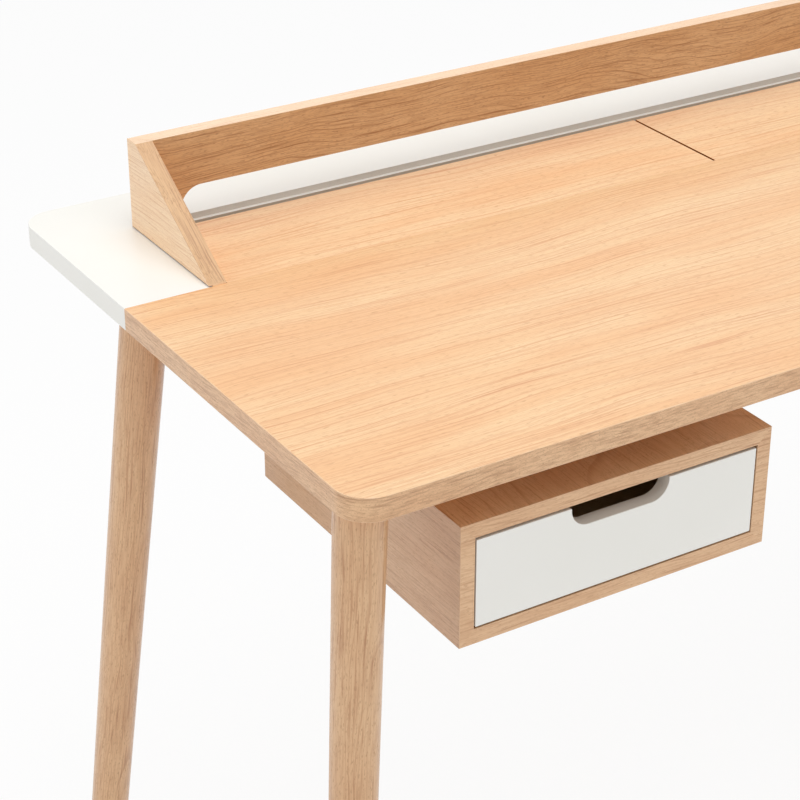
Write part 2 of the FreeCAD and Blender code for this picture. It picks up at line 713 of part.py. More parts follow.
def build_case():
    """Mitred oak case hung from the front board on two spacers; returns the bolts' holes."""
    wide, tall, board = "case_width", "case_height", "case_board"
    right, upper = "case_width - case_board", "case_height - case_board"
    sections = {
        "case_bottom": [("0", "0"), (wide, "0"), (right, board), (board, board)],
        "case_top": [("0", tall), (board, upper), (right, upper), (wide, tall)],
        "case_left_side": [("0", "0"), (board, board), (board, upper), ("0", tall)],
        "case_right_side": [(wide, "0"), (wide, tall), (right, upper), (right, board)],
    }
    dowels, dowel_holes = [], []
    for side, end, share in itertools.product((-1, 1), (-1, 1), case_dowel_shares):
        name = f"case_dowel_{len(dowels)}"
        middle = (f"case_mid_x + {side} * (case_half + case_board / 2)", f"case_y + case_depth * {share}",
                  f"case_z + case_height / 2 + {end} * (case_height - case_board) / 2")
        dowels.append(slant_dowel(name, middle, (side, 0, -end), "case_dowel"))
        dowel_holes.append(slant_dowel(name + "_hole", middle, (side, 0, -end), "case_dowel", "fit_gap"))
    bolts, bolt_holes, spacers = [], [], []
    for name, y in (("front", "case_y + spacer_front_setback"),
                    ("rear", "case_y + case_depth - spacer_rear_setback - spacer_width")):
        for share in case_bolt_shares:
            at = (f"case_x + case_width * {share}", f"{y} + spacer_width / 2",
                  "case_top_z - case_board - screw_head_height")
            label = f"case_bolt_{len(bolts)}"
            run = "screw_head_height + case_board + case_hang + screw_bite"
            bolts.append(screw(label, at, "+z", run))
            bolt_holes += screw_hole(label, at, "+z", run, sunk=False)
        spacers.append((f"case_spacer_{name}", box(f"case_spacer_{name}_blank",
                        ("case_x + spacer_end_setback", "case_x + case_width - spacer_end_setback"),
                        (y, f"{y} + spacer_width"), ("case_top_z", "underside_z"))))
    runners, runner_screws, runner_holes, stops = [], [], [], []
    low, high = "runner_z - runner_height / 2", "runner_z + runner_height / 2"
    for side, name in ((-1, "left"), (1, "right")):
        way = "+x" if side > 0 else "-x"
        face = f"case_mid_x + {side} * runner_face"
        wall = f"case_mid_x + {side} * case_half"
        x = (face, wall) if side > 0 else (wall, face)
        blank = box(f"runner_{name}_blank", x, ("runner_y", "runner_end_y"), (low, high))
        drilled = []
        for share in runner_screw_shares:
            at = (face, f"runner_y + (runner_end_y - runner_y) * {share}", "runner_z")
            label = f"runner_screw_{len(runner_screws)}"
            run = "runner_let_in + drawer_side_gap + small_screw_bite"
            runner_screws.append(screw(label, at, way, run, small=True))
            drilled += screw_hole(label, at, way, run, small=True)
        runners.append((f"runner_{name}", blank, drilled))
        runner_holes += drilled
    for share in stop_shares:
        at = (f"case_mid_x + drawer_half * (2 * {share} - 1)", "case_back_y", "runner_z")
        stops.append(rod(f"drawer_stop_{len(stops)}", at, "-y", "stop_diameter", "stop_height"))
    for label, section in sections.items():
        body = padded(label + "_body", "XZ_Plane", section, "case_depth", reverse=True)
        place(body, "case_x", "case_y", "case_z")
        extra = bolt_holes if label == "case_top" else []
        if label.endswith("side"):
            extra = runner_holes
        cut(label, body, [*dowel_holes, *extra])
    node("case_back", box("case_back", ("case_mid_x - case_half", "case_mid_x + case_half"),
                          ("case_back_y", "case_y + case_depth"),
                          ("case_z + case_board", "case_top_z - case_board")))
    for label, blank in spacers:
        cut(label, blank, bolt_holes)
    for label, blank, drilled in runners:
        cut(label, blank, drilled)
    group("case_dowels", dowels)
    group("case_bolts", bolts)
    group("runner_screws", runner_screws)
    group("drawer_stops", stops)
    return bolt_holes


def build_drawer():
    """Drawer with a white front and finger notch, grooved sides that run on the runners, back and bottom."""
    dowels, holes = [], []
    top_z = "drawer_z + drawer_side_height"
    bottom_low = "drawer_z + drawer_bottom_rise"
    bottom_high = f"{bottom_low} + drawer_bottom_board"
    groove_x = ("case_mid_x - drawer_inner_half - drawer_groove_depth",
                "case_mid_x + drawer_inner_half + drawer_groove_depth")
    groove = box("drawer_bottom_groove", (f"{groove_x[0]} - fit_gap", f"{groove_x[1]} + fit_gap"),
                 ("drawer_box_y - drawer_groove_depth - fit_gap", "drawer_end_y + cut_overrun"),
                 (f"{bottom_low} - fit_gap", f"{bottom_high} + fit_gap"))
    for side in (-1, 1):
        for share in drawer_dowel_shares:
            z = f"drawer_z + drawer_side_height * {share}"
            front = (f"case_mid_x + {side} * (drawer_inner_half + drawer_side_board / 2)",
                     "drawer_box_y - small_dowel_length / 2", z)
            back = (f"case_mid_x + {side} * (drawer_inner_half - small_dowel_length / 2)",
                    "drawer_end_y - drawer_back_board / 2", z)
            for at, way in ((front, "+y"), (back, "+x" if side > 0 else "-x")):
                name = f"drawer_dowel_{len(dowels)}"
                dowels.append(rod(name, at, way, "small_dowel_diameter", "small_dowel_length"))
                holes.append(rod(name + "_hole", at, way, "small_dowel_diameter", "small_dowel_length",
                                 "fit_gap", "end_gap"))
    wide, tall = "(2 * drawer_front_half)", "drawer_front_height"
    low, high = f"{wide} / 2 - notch_width / 2", f"{wide} / 2 + notch_width / 2"
    sill = f"{tall} - notch_depth"
    face = [("0", "0"), (wide, "0"), (wide, tall), (high, tall), (high, sill), (low, sill), (low, tall),
            ("0", tall)]
    front = padded("drawer_front_body", "XZ_Plane", face, "drawer_front_board", reverse=True)
    rounded(front, "notch_round", edge_along(1, (number(low), number(sill)), (number(high), number(sill))))
    place(front, "case_mid_x - drawer_front_half", "case_y", "drawer_z")
    cut("drawer_front", front, [groove, *holes])
    slot_z = ("runner_z - runner_height / 2 - runner_clearance",
              "runner_z + runner_height / 2 + runner_clearance")
    for side, name in ((-1, "left"), (1, "right")):
        inner, outer = f"case_mid_x + {side} * drawer_inner_half", f"case_mid_x + {side} * drawer_half"
        floor = f"case_mid_x + {side} * (runner_face - runner_clearance)"
        wall = f"case_mid_x + {side} * case_half"
        blank = box(f"drawer_{name}_blank", (inner, outer) if side > 0 else (outer, inner),
                    ("drawer_box_y", "drawer_end_y"), ("drawer_z", top_z))
        slot = box(f"drawer_{name}_slot", (floor, wall) if side > 0 else (wall, floor),
                   ("runner_y - runner_front_setback / 2", "drawer_end_y + cut_overrun"), slot_z)
        cut(f"drawer_{name}_side", blank, [groove, slot, *holes])
    back = box("drawer_back_blank", ("case_mid_x - drawer_inner_half", "case_mid_x + drawer_inner_half"),
               ("drawer_end_y - drawer_back_board", "drawer_end_y"), (bottom_high, top_z))
    cut("drawer_back", back, holes)
    node("drawer_bottom", box("drawer_bottom", groove_x,
                              ("drawer_box_y - drawer_groove_depth", "drawer_end_y"),
                              (bottom_low, bottom_high)))
    group("drawer_dowels", dowels)


def write_parts():
    """Check every object and shape, then write one file for each piece."""
    doc.recompute()
    failed = [item.Name for item in doc.Objects if {"Invalid", "Error"} & set(item.State)]
    empty = [item.Label for item in nodes if item.Shape.isNull() or not item.Shape.isValid()]
    if failed or empty:
        raise ValueError(f"failed: {failed}; no valid shape: {empty}")
    os.makedirs("parts", exist_ok=True)
    for item in nodes:
        item.Shape.exportStep(f"parts/{item.Label}.step")
        print(f"{item.Label}: {len(item.Shape.Solids)} solid, {item.Shape.Volume / 1000:.1f} cm3")
    print(f"{len(nodes)} pieces written")


fill_sheet()
leg_holes = build_legs()
dowel_holes = build_board_dowels()
bearer_holes = build_bearers()
gallery_holes = build_gallery()
lid_holes = build_lids()
groove, tray_holes = build_tray()
case_holes = build_case()
build_top(leg_holes, dowel_holes, bearer_holes, gallery_holes, lid_holes, groove, tray_holes, case_holes)
build_drawer()
write_parts()
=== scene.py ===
"""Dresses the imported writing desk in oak, white lacquer, metal and rubber, and lights it for its picture."""

import functools
import logging
import math
from abc import ABC, abstractmethod
from collections.abc import Callable, Iterable, Sequence
from dataclasses import dataclass
from enum import Enum

import bmesh
import bpy
from bmesh.types import BMEdge, BMesh, BMFace
from bpy.types import NodeSocket, NodeTree
from mathutils import Euler, Matrix, Vector


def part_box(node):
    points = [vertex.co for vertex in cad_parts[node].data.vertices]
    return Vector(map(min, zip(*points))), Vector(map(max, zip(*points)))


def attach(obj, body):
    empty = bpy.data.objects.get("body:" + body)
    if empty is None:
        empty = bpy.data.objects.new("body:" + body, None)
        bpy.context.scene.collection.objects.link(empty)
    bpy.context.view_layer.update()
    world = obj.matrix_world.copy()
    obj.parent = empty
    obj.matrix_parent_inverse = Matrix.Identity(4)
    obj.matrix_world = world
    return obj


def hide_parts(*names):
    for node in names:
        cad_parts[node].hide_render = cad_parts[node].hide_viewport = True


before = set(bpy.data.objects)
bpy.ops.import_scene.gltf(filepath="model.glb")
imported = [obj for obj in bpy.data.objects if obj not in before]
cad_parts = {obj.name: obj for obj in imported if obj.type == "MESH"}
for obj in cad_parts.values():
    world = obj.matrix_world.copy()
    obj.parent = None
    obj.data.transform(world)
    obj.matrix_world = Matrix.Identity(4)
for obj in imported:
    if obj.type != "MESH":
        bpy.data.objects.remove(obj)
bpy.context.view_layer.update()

log = logging.getLogger("writing_desk")

MM = 0.001
SAME_PLACE = 0.01 * MM
SAME_POINT = 0.001 * MM
LONGEST_HOLE_EDGE = 9 * MM
ALONG_X, ALONG_Y, ALONG_Z = (1, 0, 0), (0, 1, 0), (0, 0, 1)
X_WAY, Y_WAY, Z_WAY = Vector(ALONG_X), Vector(ALONG_Y), Vector(ALONG_Z)
SHARP_TURN = math.radians(28)
FLAT_TURN = math.radians(0.5)
END_FACE_SHARE = 0.75
LEVEL_SHARE = 0.5
TOP_FACE_SHARE = 0.95
MITRE_SHARE = 0.6
ROUND_PROFILE = 0.5
GRAIN_LAYER = "grain"
ARRIS_LAYER = "arris"
FIGURE_PARTS = ("Rings", "Streaks", "Bands", "Lines", "Pores")
TOP_GRAIN = (0, 0.42, -0.69)

Colour = tuple[float, float, float, float]
Place = tuple[float, float, float]
Source = NodeSocket | float | Sequence[float]
EdgeTest = Callable[[BMEdge], bool]


class Body(Enum):
    """Bodies of the desk that pieces ride on."""

    FRAME = "desk_frame"
    DRAWER = "drawer_box"
    LEFT_LID = "left_lid"
    RIGHT_LID = "right_lid"


class Slot(Enum):
    """Material slots of the record, which each fitting names."""

    OAK = "oak"
    PALE_WOOD = "pale_wood"
    LACQUER = "white_lacquer"
    GREY_BOARD = "grey_board"
    STEEL = "steel"
    RUBBER = "rubber"
    GLIDE = "glide_plastic"


class Effect(Enum):
    """Node groups that several finishes share."""

    FIGURE = "wood_figure"
    TONE = "wood_tone"
    RELIEF = "fine_relief"
    WEAR_AND_HIGHLIGHT = "arris_wear_and_highlight"


class GrainSource(Enum):
    """Where a wooden finish reads its grain from."""

    CUT = "cut"
    PLACE = "place"


def seen(red: int, green: int, blue: int) -> Colour:
    """Turns a colour as the eye reads it on screen into a linear one.

    Args:
        red: Red, 0 to 255.
        green: Green, 0 to 255.
        blue: Blue, 0 to 255.

    Returns:
        The linear colour, with full alpha.
    """
    full, knee, slope, offset, power = 255, 0.04045, 12.92, 0.055, 2.4

    def linear(value: int) -> float:
        """Linear value of one channel."""
        share = value / full
        return share / slope if share <= knee else ((share + offset) / (1 + offset)) ** power
    return linear(red), linear(green), linear(blue), 1.0


class Wiring:
    """Adds and joins the nodes of one tree."""

    def __init__(self, tree: NodeTree) -> None:
        """Takes the tree to fill."""
        self.tree = tree

    def add(self, kind: str, **settings: object) -> bpy.types.Node:
        """Adds a node and sets its properties."""
        node = self.tree.nodes.new(kind)
        for name, value in settings.items():
            setattr(node, name, value)
        return node

    def feed(self, target: NodeSocket, value: Source) -> None:
        """Links a socket to the target, or writes a plain value on it."""
        if isinstance(value, NodeSocket):
            self.tree.links.new(value, target)
        else:
            target.default_value = value

    def fill(self, node: bpy.types.Node, **values: Source) -> bpy.types.Node:
        """Feeds a node's inputs by name, with underscores for the spaces in their names."""
        for name, value in values.items():
            self.feed(node.inputs[name.replace("_", " ")], value)
        return node

    def solve(self, kind: str, *values: Source, **settings: object) -> NodeSocket:
        """Adds a node, feeds its inputs in their order and gives its first output."""
        node = self.add(kind, **settings)
        for socket, value in zip(node.inputs, values):
            self.feed(socket, value)
        return node.outputs[0]

    def math(self, operation: str, *values: Source, clamp: bool = False) -> NodeSocket:
        """Works out one number from others."""
        return self.solve("ShaderNodeMath", *values, operation=operation, use_clamp=clamp)

    def plus(self, first: Source, second: Source, clamp: bool = False) -> NodeSocket:
        """Sum of two numbers."""
        return self.math("ADD", first, second, clamp=clamp)

    def times(self, first: Source, second: Source, clamp: bool = False) -> NodeSocket:
        """Product of two numbers."""
        return self.math("MULTIPLY", first, second, clamp=clamp)

    def joined(self, *parts: Source) -> NodeSocket:
        """Vector with these parts."""
        return self.solve("ShaderNodeCombineXYZ", *parts)

    def stretched(self, vector: Source, factors: Sequence[float]) -> NodeSocket:
        """Multiplies a vector part by part."""
        return self.solve("ShaderNodeVectorMath", vector, factors, operation="MULTIPLY")

    def noise(self, vector: Source, detail: float = 2.0, roughness: float = 0.5,
              scale: Source = 1.0) -> NodeSocket:
        """Soft noise between 0 and 1 at a place.

        Args:
            vector: The place.
            detail: Octaves on top of the first.
            roughness: Weight of each further octave.
            scale: How dense the noise is.

        Returns:
            The socket that gives the noise.
        """
        node = self.add("ShaderNodeTexNoise")
        self.fill(node, Vector=vector, Scale=scale, Detail=detail, Roughness=roughness)
        return node.outputs["Fac"]

    def spread(self, value: Source, low: float, high: float, to_low: Source = 0.0,
               to_high: Source = 1.0) -> NodeSocket:
        """Eases a value from one range into another, clamped at both ends.

        Args:
            value: The value to ease.
            low: Value that becomes to_low.
            high: Value that becomes to_high.
            to_low: Result at and below low.
            to_high: Result at and above high.

        Returns:
            The socket that gives the result.
        """
        return self.solve("ShaderNodeMapRange", value, low, high, to_low, to_high,
                          interpolation_type="SMOOTHSTEP")

    def mix(self, share: Source, first: Source, second: Source) -> NodeSocket:
        """Mixes two colours."""
        node = self.add("ShaderNodeMix", data_type="RGBA")
        colours = [socket for socket in node.inputs if socket.type == "RGBA"]
        self.feed(node.inputs[0], share)
        self.feed(colours[0], first)
        self.feed(colours[1], second)
        return next(socket for socket in node.outputs if socket.type == "RGBA")

    def blend(self, share: Source, first: Source, second: Source) -> NodeSocket:
        """Blends two shaders."""
        return self.solve("ShaderNodeMixShader", share, first, second)

    def place(self, effect: Effect, **values: Source) -> bpy.types.Node:
        """Puts a shared effect in the tree, each value going to the input of its name."""
        return self.fill(self.add("ShaderNodeGroup", node_tree=shared(effect)), **values)


@dataclass(frozen=True)
class Port:
    """A named socket of a node group."""

    name: str
    kind: str = "NodeSocketFloat"
    value: float | Colour | None = None


class GroupWiring(Wiring):
    """Fills a node group with its ports and nodes."""

    def __init__(self, effect: Effect, inputs: Iterable[Port], outputs: Iterable[Port]) -> None:
        """Opens the group.

        Args:
            effect: What the group is for; it gives the group its name.
            inputs: Ports that feed the group.
            outputs: Ports that the group feeds.
        """
        super().__init__(bpy.data.node_groups.new(effect.value, "ShaderNodeTree"))
        for way, ports in (("INPUT", inputs), ("OUTPUT", outputs)):
            for port in ports:
                socket = self.tree.interface.new_socket(port.name, in_out=way, socket_type=port.kind)
                if port.value is not None:
                    socket.default_value = port.value
        self.entry = self.add("NodeGroupInput")
        self.exit = self.add("NodeGroupOutput")

    def take(self, name: str) -> NodeSocket:
        """Socket of an input port."""
        return self.entry.outputs[name]

    def give(self, name: str, value: Source) -> None:
        """Feeds an output port."""
        self.feed(self.exit.inputs[name], value)


class MaterialWiring(Wiring):
    """Fills a material with one surface shader and what feeds it."""

    def __init__(self, name: str) -> None:
        """Makes the material and its shader."""
        self.material = bpy.data.materials.new(name)
        self.material.use_nodes = True
        super().__init__(self.material.node_tree)
        self.tree.nodes.clear()
        self.surface = self.add("ShaderNodeBsdfPrincipled")
        self.output = self.add("ShaderNodeOutputMaterial").inputs["Surface"]
        self.feed(self.output, self.surface.outputs["BSDF"])

    def give(self, **values: Source) -> None:
        """Feeds the shader's inputs by name."""
        self.fill(self.surface, **values)

    def place_on_piece(self) -> NodeSocket:
        """Place on the piece in metres, which moves with it."""
        return self.add("ShaderNodeTexCoord").outputs["Object"]

    def layer(self, name: str, port: str) -> NodeSocket:
        """Value that the mesh carries under a name."""
        return self.add("ShaderNodeAttribute", attribute_name=name).outputs[port]

    def raised(self, height: Source, depth: float) -> None:
        """Bends the surface's normal by a height, depth metres deep at 1."""
        node = self.fill(self.add("ShaderNodeBump"), Distance=depth, Height=height)
        self.give(Normal=node.outputs["Normal"])


def wood_figure() -> NodeTree:
    """Builds the group that draws rings, streaks, bands, lines and pores along a board's grain.

    Returns:
        The group. Its Grain input is metres along, across and into the wood.
    """
    sway_stretch, ripple_stretch, ripple_weight = (2.6, 6.0, 6.0), (9.0, 22.0, 22.0), 0.14
    noise_middle, noise_reach = 0.5, 2.0
    uneven_stretch, uneven_weight = 42.0, 2.2
    strength_stretch, ring_step = 2.4, 0.73
    strength_range, weakest_ring = (0.38, 0.7), 0.05
    late_rise, late_fall = (0.55, 0.92), (0.93, 1.0)
    streak_stretch, streak_range = (15.0, 620.0, 620.0), (0.42, 0.62)
    band_stretch, band_range, band_detail, band_roughness = (2.6, 17.0, 17.0), (0.3, 0.7), 3.0, 0.55
    line_stretch, line_range = (5.0, 480.0, 480.0), (0.58, 0.69)
    pore_stretch, pore_range = (95.0, 1000.0, 1000.0), (0.55, 0.66)
    early_range, late_pores = (0.25, 0.6), 0.35
    pore_height, ring_height = -0.7, -0.2
    group = GroupWiring(
        Effect.FIGURE,
        [Port("Grain", "NodeSocketVector"), Port("Ring Width", value=0.005), Port("Sway", value=0.006),
         Port("Lean", value=0.02)],
        [Port(name) for name in (*FIGURE_PARTS, "Height")])
    grain = group.take("Grain")
    parts = group.add("ShaderNodeSeparateXYZ")
    group.feed(parts.inputs[0], grain)
    along, across, into = parts.outputs

    def wander(stretch: Place) -> NodeSocket:
        """Slow noise about 0 along the grain."""
        return group.math("SUBTRACT", group.noise(group.stretched(grain, stretch), detail=1.0), noise_middle)
    sway = group.plus(wander(sway_stretch), group.times(wander(ripple_stretch), ripple_weight))
    sway = group.times(group.times(sway, group.take("Sway")), noise_reach)
    across = group.plus(across, sway)
    flow = group.joined(along, across, into)

    def drawn(stretch: Place, span: tuple[float, float], detail: float = 1.0,
              roughness: float = 0.5) -> NodeSocket:
        """Noise that is stretched along the swaying grain and eased over a span."""
        return group.spread(group.noise(group.stretched(flow, stretch), detail, roughness), *span)
    squares = group.plus(group.times(across, across), group.times(into, into))
    reach = group.plus(group.math("SQRT", squares), group.times(along, group.take("Lean")))
    reach = group.plus(reach, sway)
    uneven = group.noise(group.joined(group.times(reach, uneven_stretch)), detail=1.0)
    phase = group.plus(group.math("DIVIDE", reach, group.take("Ring Width")),
                       group.times(uneven, uneven_weight))
    ring = group.math("FRACT", phase)
    number = group.joined(group.times(along, strength_stretch),
                          group.times(group.math("FLOOR", phase), ring_step))
    strength = group.spread(group.noise(number, detail=1.0), *strength_range, weakest_ring, 1.0)
    late = group.times(group.spread(ring, *late_rise), group.spread(ring, *late_fall, 1.0, 0.0))
    early = group.spread(ring, *early_range, 1.0, late_pores)
    figure = {"Rings": group.times(late, strength),
              "Streaks": drawn(streak_stretch, streak_range),
              "Bands": drawn(band_stretch, band_range, band_detail, band_roughness),
              "Lines": drawn(line_stretch, line_range),
              "Pores": group.times(drawn(pore_stretch, pore_range), early)}
    for name, value in figure.items():
        group.give(name, value)
    group.give("Height", group.plus(group.times(figure["Pores"], pore_height),
                                    group.times(figure["Rings"], ring_height)))
    return group.tree


def wood_tone() -> NodeTree:
    """Builds the group that colours a wood's figure.

    Returns:
        The group. Contrast scales how far the figure stands out, and Streaky and Porous how far the fine
        streaks and the pores do.
    """
    ring_weight, line_weight = 0.6, 0.5
    figure = [Port(name) for name in FIGURE_PARTS]
    colours = [Port(name, "NodeSocketColor") for name in ("Pale", "Warm", "Late", "Pore")]
    shares = [Port("Contrast", value=1.0), Port("Streaky", value=0.2), Port("Porous", value=0.3)]
    group = GroupWiring(Effect.TONE, [*figure, *colours, *shares], [Port("Colour", "NodeSocketColor")])
    colour = group.mix(group.take("Bands"), group.take("Pale"), group.take("Warm"))
    dark = group.plus(group.times(group.take("Rings"), ring_weight),
                      group.times(group.take("Streaks"), group.take("Streaky")))
    dark = group.plus(dark, group.times(group.take("Lines"), line_weight))
    dark = group.times(dark, group.take("Contrast"), clamp=True)
    colour = group.mix(dark, colour, group.take("Late"))
    spots = group.times(group.take("Pores"), group.take("Porous"), clamp=True)
    colour = group.mix(spots, colour, group.take("Pore"))
    group.give("Colour", colour)
    return group.tree


def fine_relief() -> NodeTree:
    """Builds the group for slow patches and fine unevenness on painted, moulded and metal surfaces.

    Returns:
        The group. Patch runs from 0 to 1 in slow patches, and Height is the fine unevenness.
    """
    patch_detail, patch_roughness, patch_range, grit_detail = 3.0, 0.55, (0.3, 0.7), 2.0
    group = GroupWiring(
        Effect.RELIEF,
        [Port("Place", "NodeSocketVector"), Port("Patch Density", value=6.0),
         Port("Grit Density", value=900.0)],
        [Port("Patch"), Port("Height")])
    place = group.take("Place")
    patch = group.noise(place, patch_detail, patch_roughness, group.take("Patch Density"))
    group.give("Patch", group.spread(patch, *patch_range))
    group.give("Height", group.noise(place, grit_detail, scale=group.take("Grit Density")))
    return group.tree


def arris_wear_and_highlight() -> NodeTree:
    """Builds the group that paints the softened edges of a piece a little paler, in patches: wear, and a
    painted highlight along the arris.

    Returns:
        The group. Arris is 1 on a softened edge and 0 elsewhere.
    """
    wear_highlight_density, wear_highlight_detail, wear_highlight_roughness = 60.0, 3.0, 0.6
    wear_highlight_range, least_wear_highlight, wear_highlight_weight = (0.3, 0.75), 0.25, 0.55
    group = GroupWiring(
        Effect.WEAR_AND_HIGHLIGHT,
        [Port("Place", "NodeSocketVector"), Port("Arris"), Port("Colour", "NodeSocketColor"),
         Port("Rubbed", "NodeSocketColor")],
        [Port("Colour", "NodeSocketColor")])
    wear_highlight_patches = group.noise(group.take("Place"), wear_highlight_detail, wear_highlight_roughness, wear_highlight_density)
    wear_highlight_patches = group.spread(wear_highlight_patches, *wear_highlight_range, least_wear_highlight, 1.0)
    # paler in patches on the softened edges: wear, and a painted highlight along the arris
    wear_highlight_share = group.times(group.times(wear_highlight_patches, group.take("Arris")), wear_highlight_weight)
    group.give("Colour", group.mix(wear_highlight_share, group.take("Colour"), group.take("Rubbed")))
    return group.tree


@functools.cache
def shared(effect: Effect) -> NodeTree:
    """Node group of a shared effect, built the first time it is asked for."""
    makers = {Effect.FIGURE: wood_figure, Effect.TONE: wood_tone, Effect.RELIEF: fine_relief,
              Effect.WEAR_AND_HIGHLIGHT: arris_wear_and_highlight}
    return makers[effect]()


class Finish(ABC):
    """A surface finish that makes its own material."""

    @abstractmethod
    def make(self) -> bpy.types.Material:
        """Builds the material."""


@functools.cache
def material_of(finish: Finish) -> bpy.types.Material:
    """Material of a finish, built the first time it is asked for."""
    return finish.make()


@dataclass(frozen=True)
class WoodFinish(Finish):
    """Clear-finished wood with its figure, pores and paler edges: wear and painted highlight."""

    name: str
    pale: Colour
    warm: Colour
    late: Colour
    pore: Colour
    wear_highlight: Colour
    ring_width: float = 5.5 * MM
    sway: float = 7 * MM
    lean: float = 0.02
    contrast: float = 1.0
    streaky: float = 0.28
    porous: float = 0.4
    roughness: float = 0.38
    coat: float = 0.5
    gloss: float = 0.5
    relief: float = 0.12 * MM
    source: GrainSource = GrainSource.CUT

    def make(self) -> bpy.types.Material:
        """Builds the material."""
        pore_roughness, patch_roughness, coat_roughness = 0.2, 0.08, 0.22
        wiring = MaterialWiring(self.name)
        place = wiring.place_on_piece()
        grain = wiring.layer(GRAIN_LAYER, "Vector") if self.source is GrainSource.CUT else place
        figure = wiring.place(Effect.FIGURE, Grain=grain, Ring_Width=self.ring_width, Sway=self.sway,
                              Lean=self.lean)
        parts = {name: figure.outputs[name] for name in FIGURE_PARTS}
        tone = wiring.place(Effect.TONE, **parts, Pale=self.pale, Warm=self.warm, Late=self.late,
                            Pore=self.pore, Contrast=self.contrast, Streaky=self.streaky, Porous=self.porous)
        wear_and_highlight = wiring.place(Effect.WEAR_AND_HIGHLIGHT, Place=place, Arris=wiring.layer(ARRIS_LAYER, "Fac"),
                            Colour=tone.outputs["Colour"], Rubbed=self.wear_highlight)
        relief = wiring.place(Effect.RELIEF, Place=place)
        roughness = wiring.plus(wiring.times(parts["Pores"], pore_roughness),
                                wiring.times(relief.outputs["Patch"], patch_roughness))
        wiring.give(Base_Color=wear_and_highlight.outputs["Colour"], Roughness=wiring.plus(roughness, self.roughness),
                    Coat_Weight=self.coat, Coat_Roughness=coat_roughness, Specular_IOR_Level=self.gloss)
        wiring.raised(figure.outputs["Height"], self.relief)
        return wiring.material


@dataclass(frozen=True)
class CoatedFinish(Finish):
    """Paint, foil, rubber, plastic or metal: a colour with slow patches, fine unevenness and paler edges: wear
    and painted highlight.
    """

    name: str
    colour: Colour
    patch: Colour
    wear_highlight: Colour
    roughness: float
    roughness_spread: float = 0.08
    metallic: float = 0.0
    patch_density: float = 6.0
    grit_density: float = 900.0
    relief: float = 0.02 * MM

    def make(self) -> bpy.types.Material:
        """Builds the material."""
        wiring = MaterialWiring(self.name)
        place = wiring.place_on_piece()
        relief = wiring.place(Effect.RELIEF, Place=place, Patch_Density=self.patch_density,
                              Grit_Density=self.grit_density)
        patch = relief.outputs["Patch"]
        wear_and_highlight = wiring.place(Effect.WEAR_AND_HIGHLIGHT, Place=place, Arris=wiring.layer(ARRIS_LAYER, "Fac"),
                            Colour=wiring.mix(patch, self.colour, self.patch), Rubbed=self.wear_highlight)
        roughness = wiring.plus(wiring.times(patch, self.roughness_spread), self.roughness)
        wiring.give(Base_Color=wear_and_highlight.outputs["Colour"], Roughness=roughness, Metallic=self.metallic)
        wiring.raised(relief.outputs["Height"], self.relief)
        return wiring.material


OAK_TOP = WoodFinish("oak_top", seen(248, 209, 159), seen(244, 191, 136), seen(221, 154, 103),
                     seen(208, 150, 106), seen(248, 214, 178), ring_width=6.5 * MM, sway=15 * MM, streaky=0.2,
                     porous=0.55)
# lids: a little paler than the top as painted light, cancelling the back panel's shade on their rear
OAK_LID_PAINTED_LIGHT = WoodFinish("oak_lid_painted_light", seen(250, 214, 169), seen(247, 197, 147), seen(226, 162, 114), OAK_TOP.pore,
                     OAK_TOP.wear_highlight, OAK_TOP.ring_width, OAK_TOP.sway, streaky=OAK_TOP.streaky,
                     porous=OAK_TOP.porous, roughness=0.5, coat=0.15)
OAK_EDGE = WoodFinish("oak_edge", seen(235, 192, 147), seen(228, 180, 134), seen(174, 123, 82),
                      seen(164, 118, 84), seen(243, 210, 175), ring_width=2.7 * MM, sway=2 * MM, lean=0.015,
                      contrast=0.64, streaky=0.5, porous=0.5)
# back panel: darker than the top as painted shade, standing in for the shade on the panel's front face
OAK_PANEL_PAINTED_SHADE = WoodFinish("oak_panel_painted_shade", seen(215, 172, 126), seen(207, 159, 110), seen(162, 113, 70),
                       seen(146, 101, 62), seen(224, 184, 140), ring_width=2.8 * MM, sway=12 * MM,
                       contrast=1.1, streaky=0.3, porous=0.5)
OAK_RAIL = WoodFinish("oak_rail", seen(252, 219, 182), seen(248, 209, 169), seen(228, 180, 139),
                      seen(206, 158, 118), seen(252, 220, 186), ring_width=3.5 * MM, porous=0.3)
OAK_RAKE = WoodFinish("oak_rake", seen(219, 176, 126), seen(212, 165, 114), seen(180, 129, 83),
                      seen(170, 122, 80), seen(242, 202, 160), ring_width=2.8 * MM, porous=0.5)
# gallery ends: colours raised well above the top's as painted light, standing in for the light bounced up onto
# their sides
OAK_END_PAINTED_LIGHT = WoodFinish("oak_gallery_end_painted_light", seen(255, 224, 186), seen(254, 215, 171), seen(228, 178, 129),
                     seen(208, 161, 116), seen(252, 226, 192), ring_width=3.2 * MM, sway=10 * MM,
                     streaky=0.26)
OAK_LEG = WoodFinish("oak_leg", seen(228, 187, 143), seen(220, 175, 131), seen(184, 132, 91),
                     seen(168, 122, 82), seen(238, 204, 166), ring_width=3 * MM, sway=5 * MM, lean=0.012,
                     porous=0.5, roughness=0.32)
# case sides, top and bottom: darker than the front edges as painted shade, standing in for the shade under the
# top and beside the legs
OAK_CASE_PAINTED_SHADE = WoodFinish("oak_case_painted_shade", seen(218, 178, 137), seen(211, 167, 125), seen(176, 127, 87),
                      seen(162, 118, 82), seen(238, 204, 166), ring_width=2.9 * MM, contrast=0.8)
OAK_FRAME = WoodFinish("oak_frame", seen(233, 192, 149), seen(225, 180, 136), seen(194, 143, 100),
                       seen(182, 134, 94), seen(248, 214, 178), ring_width=2.9 * MM)
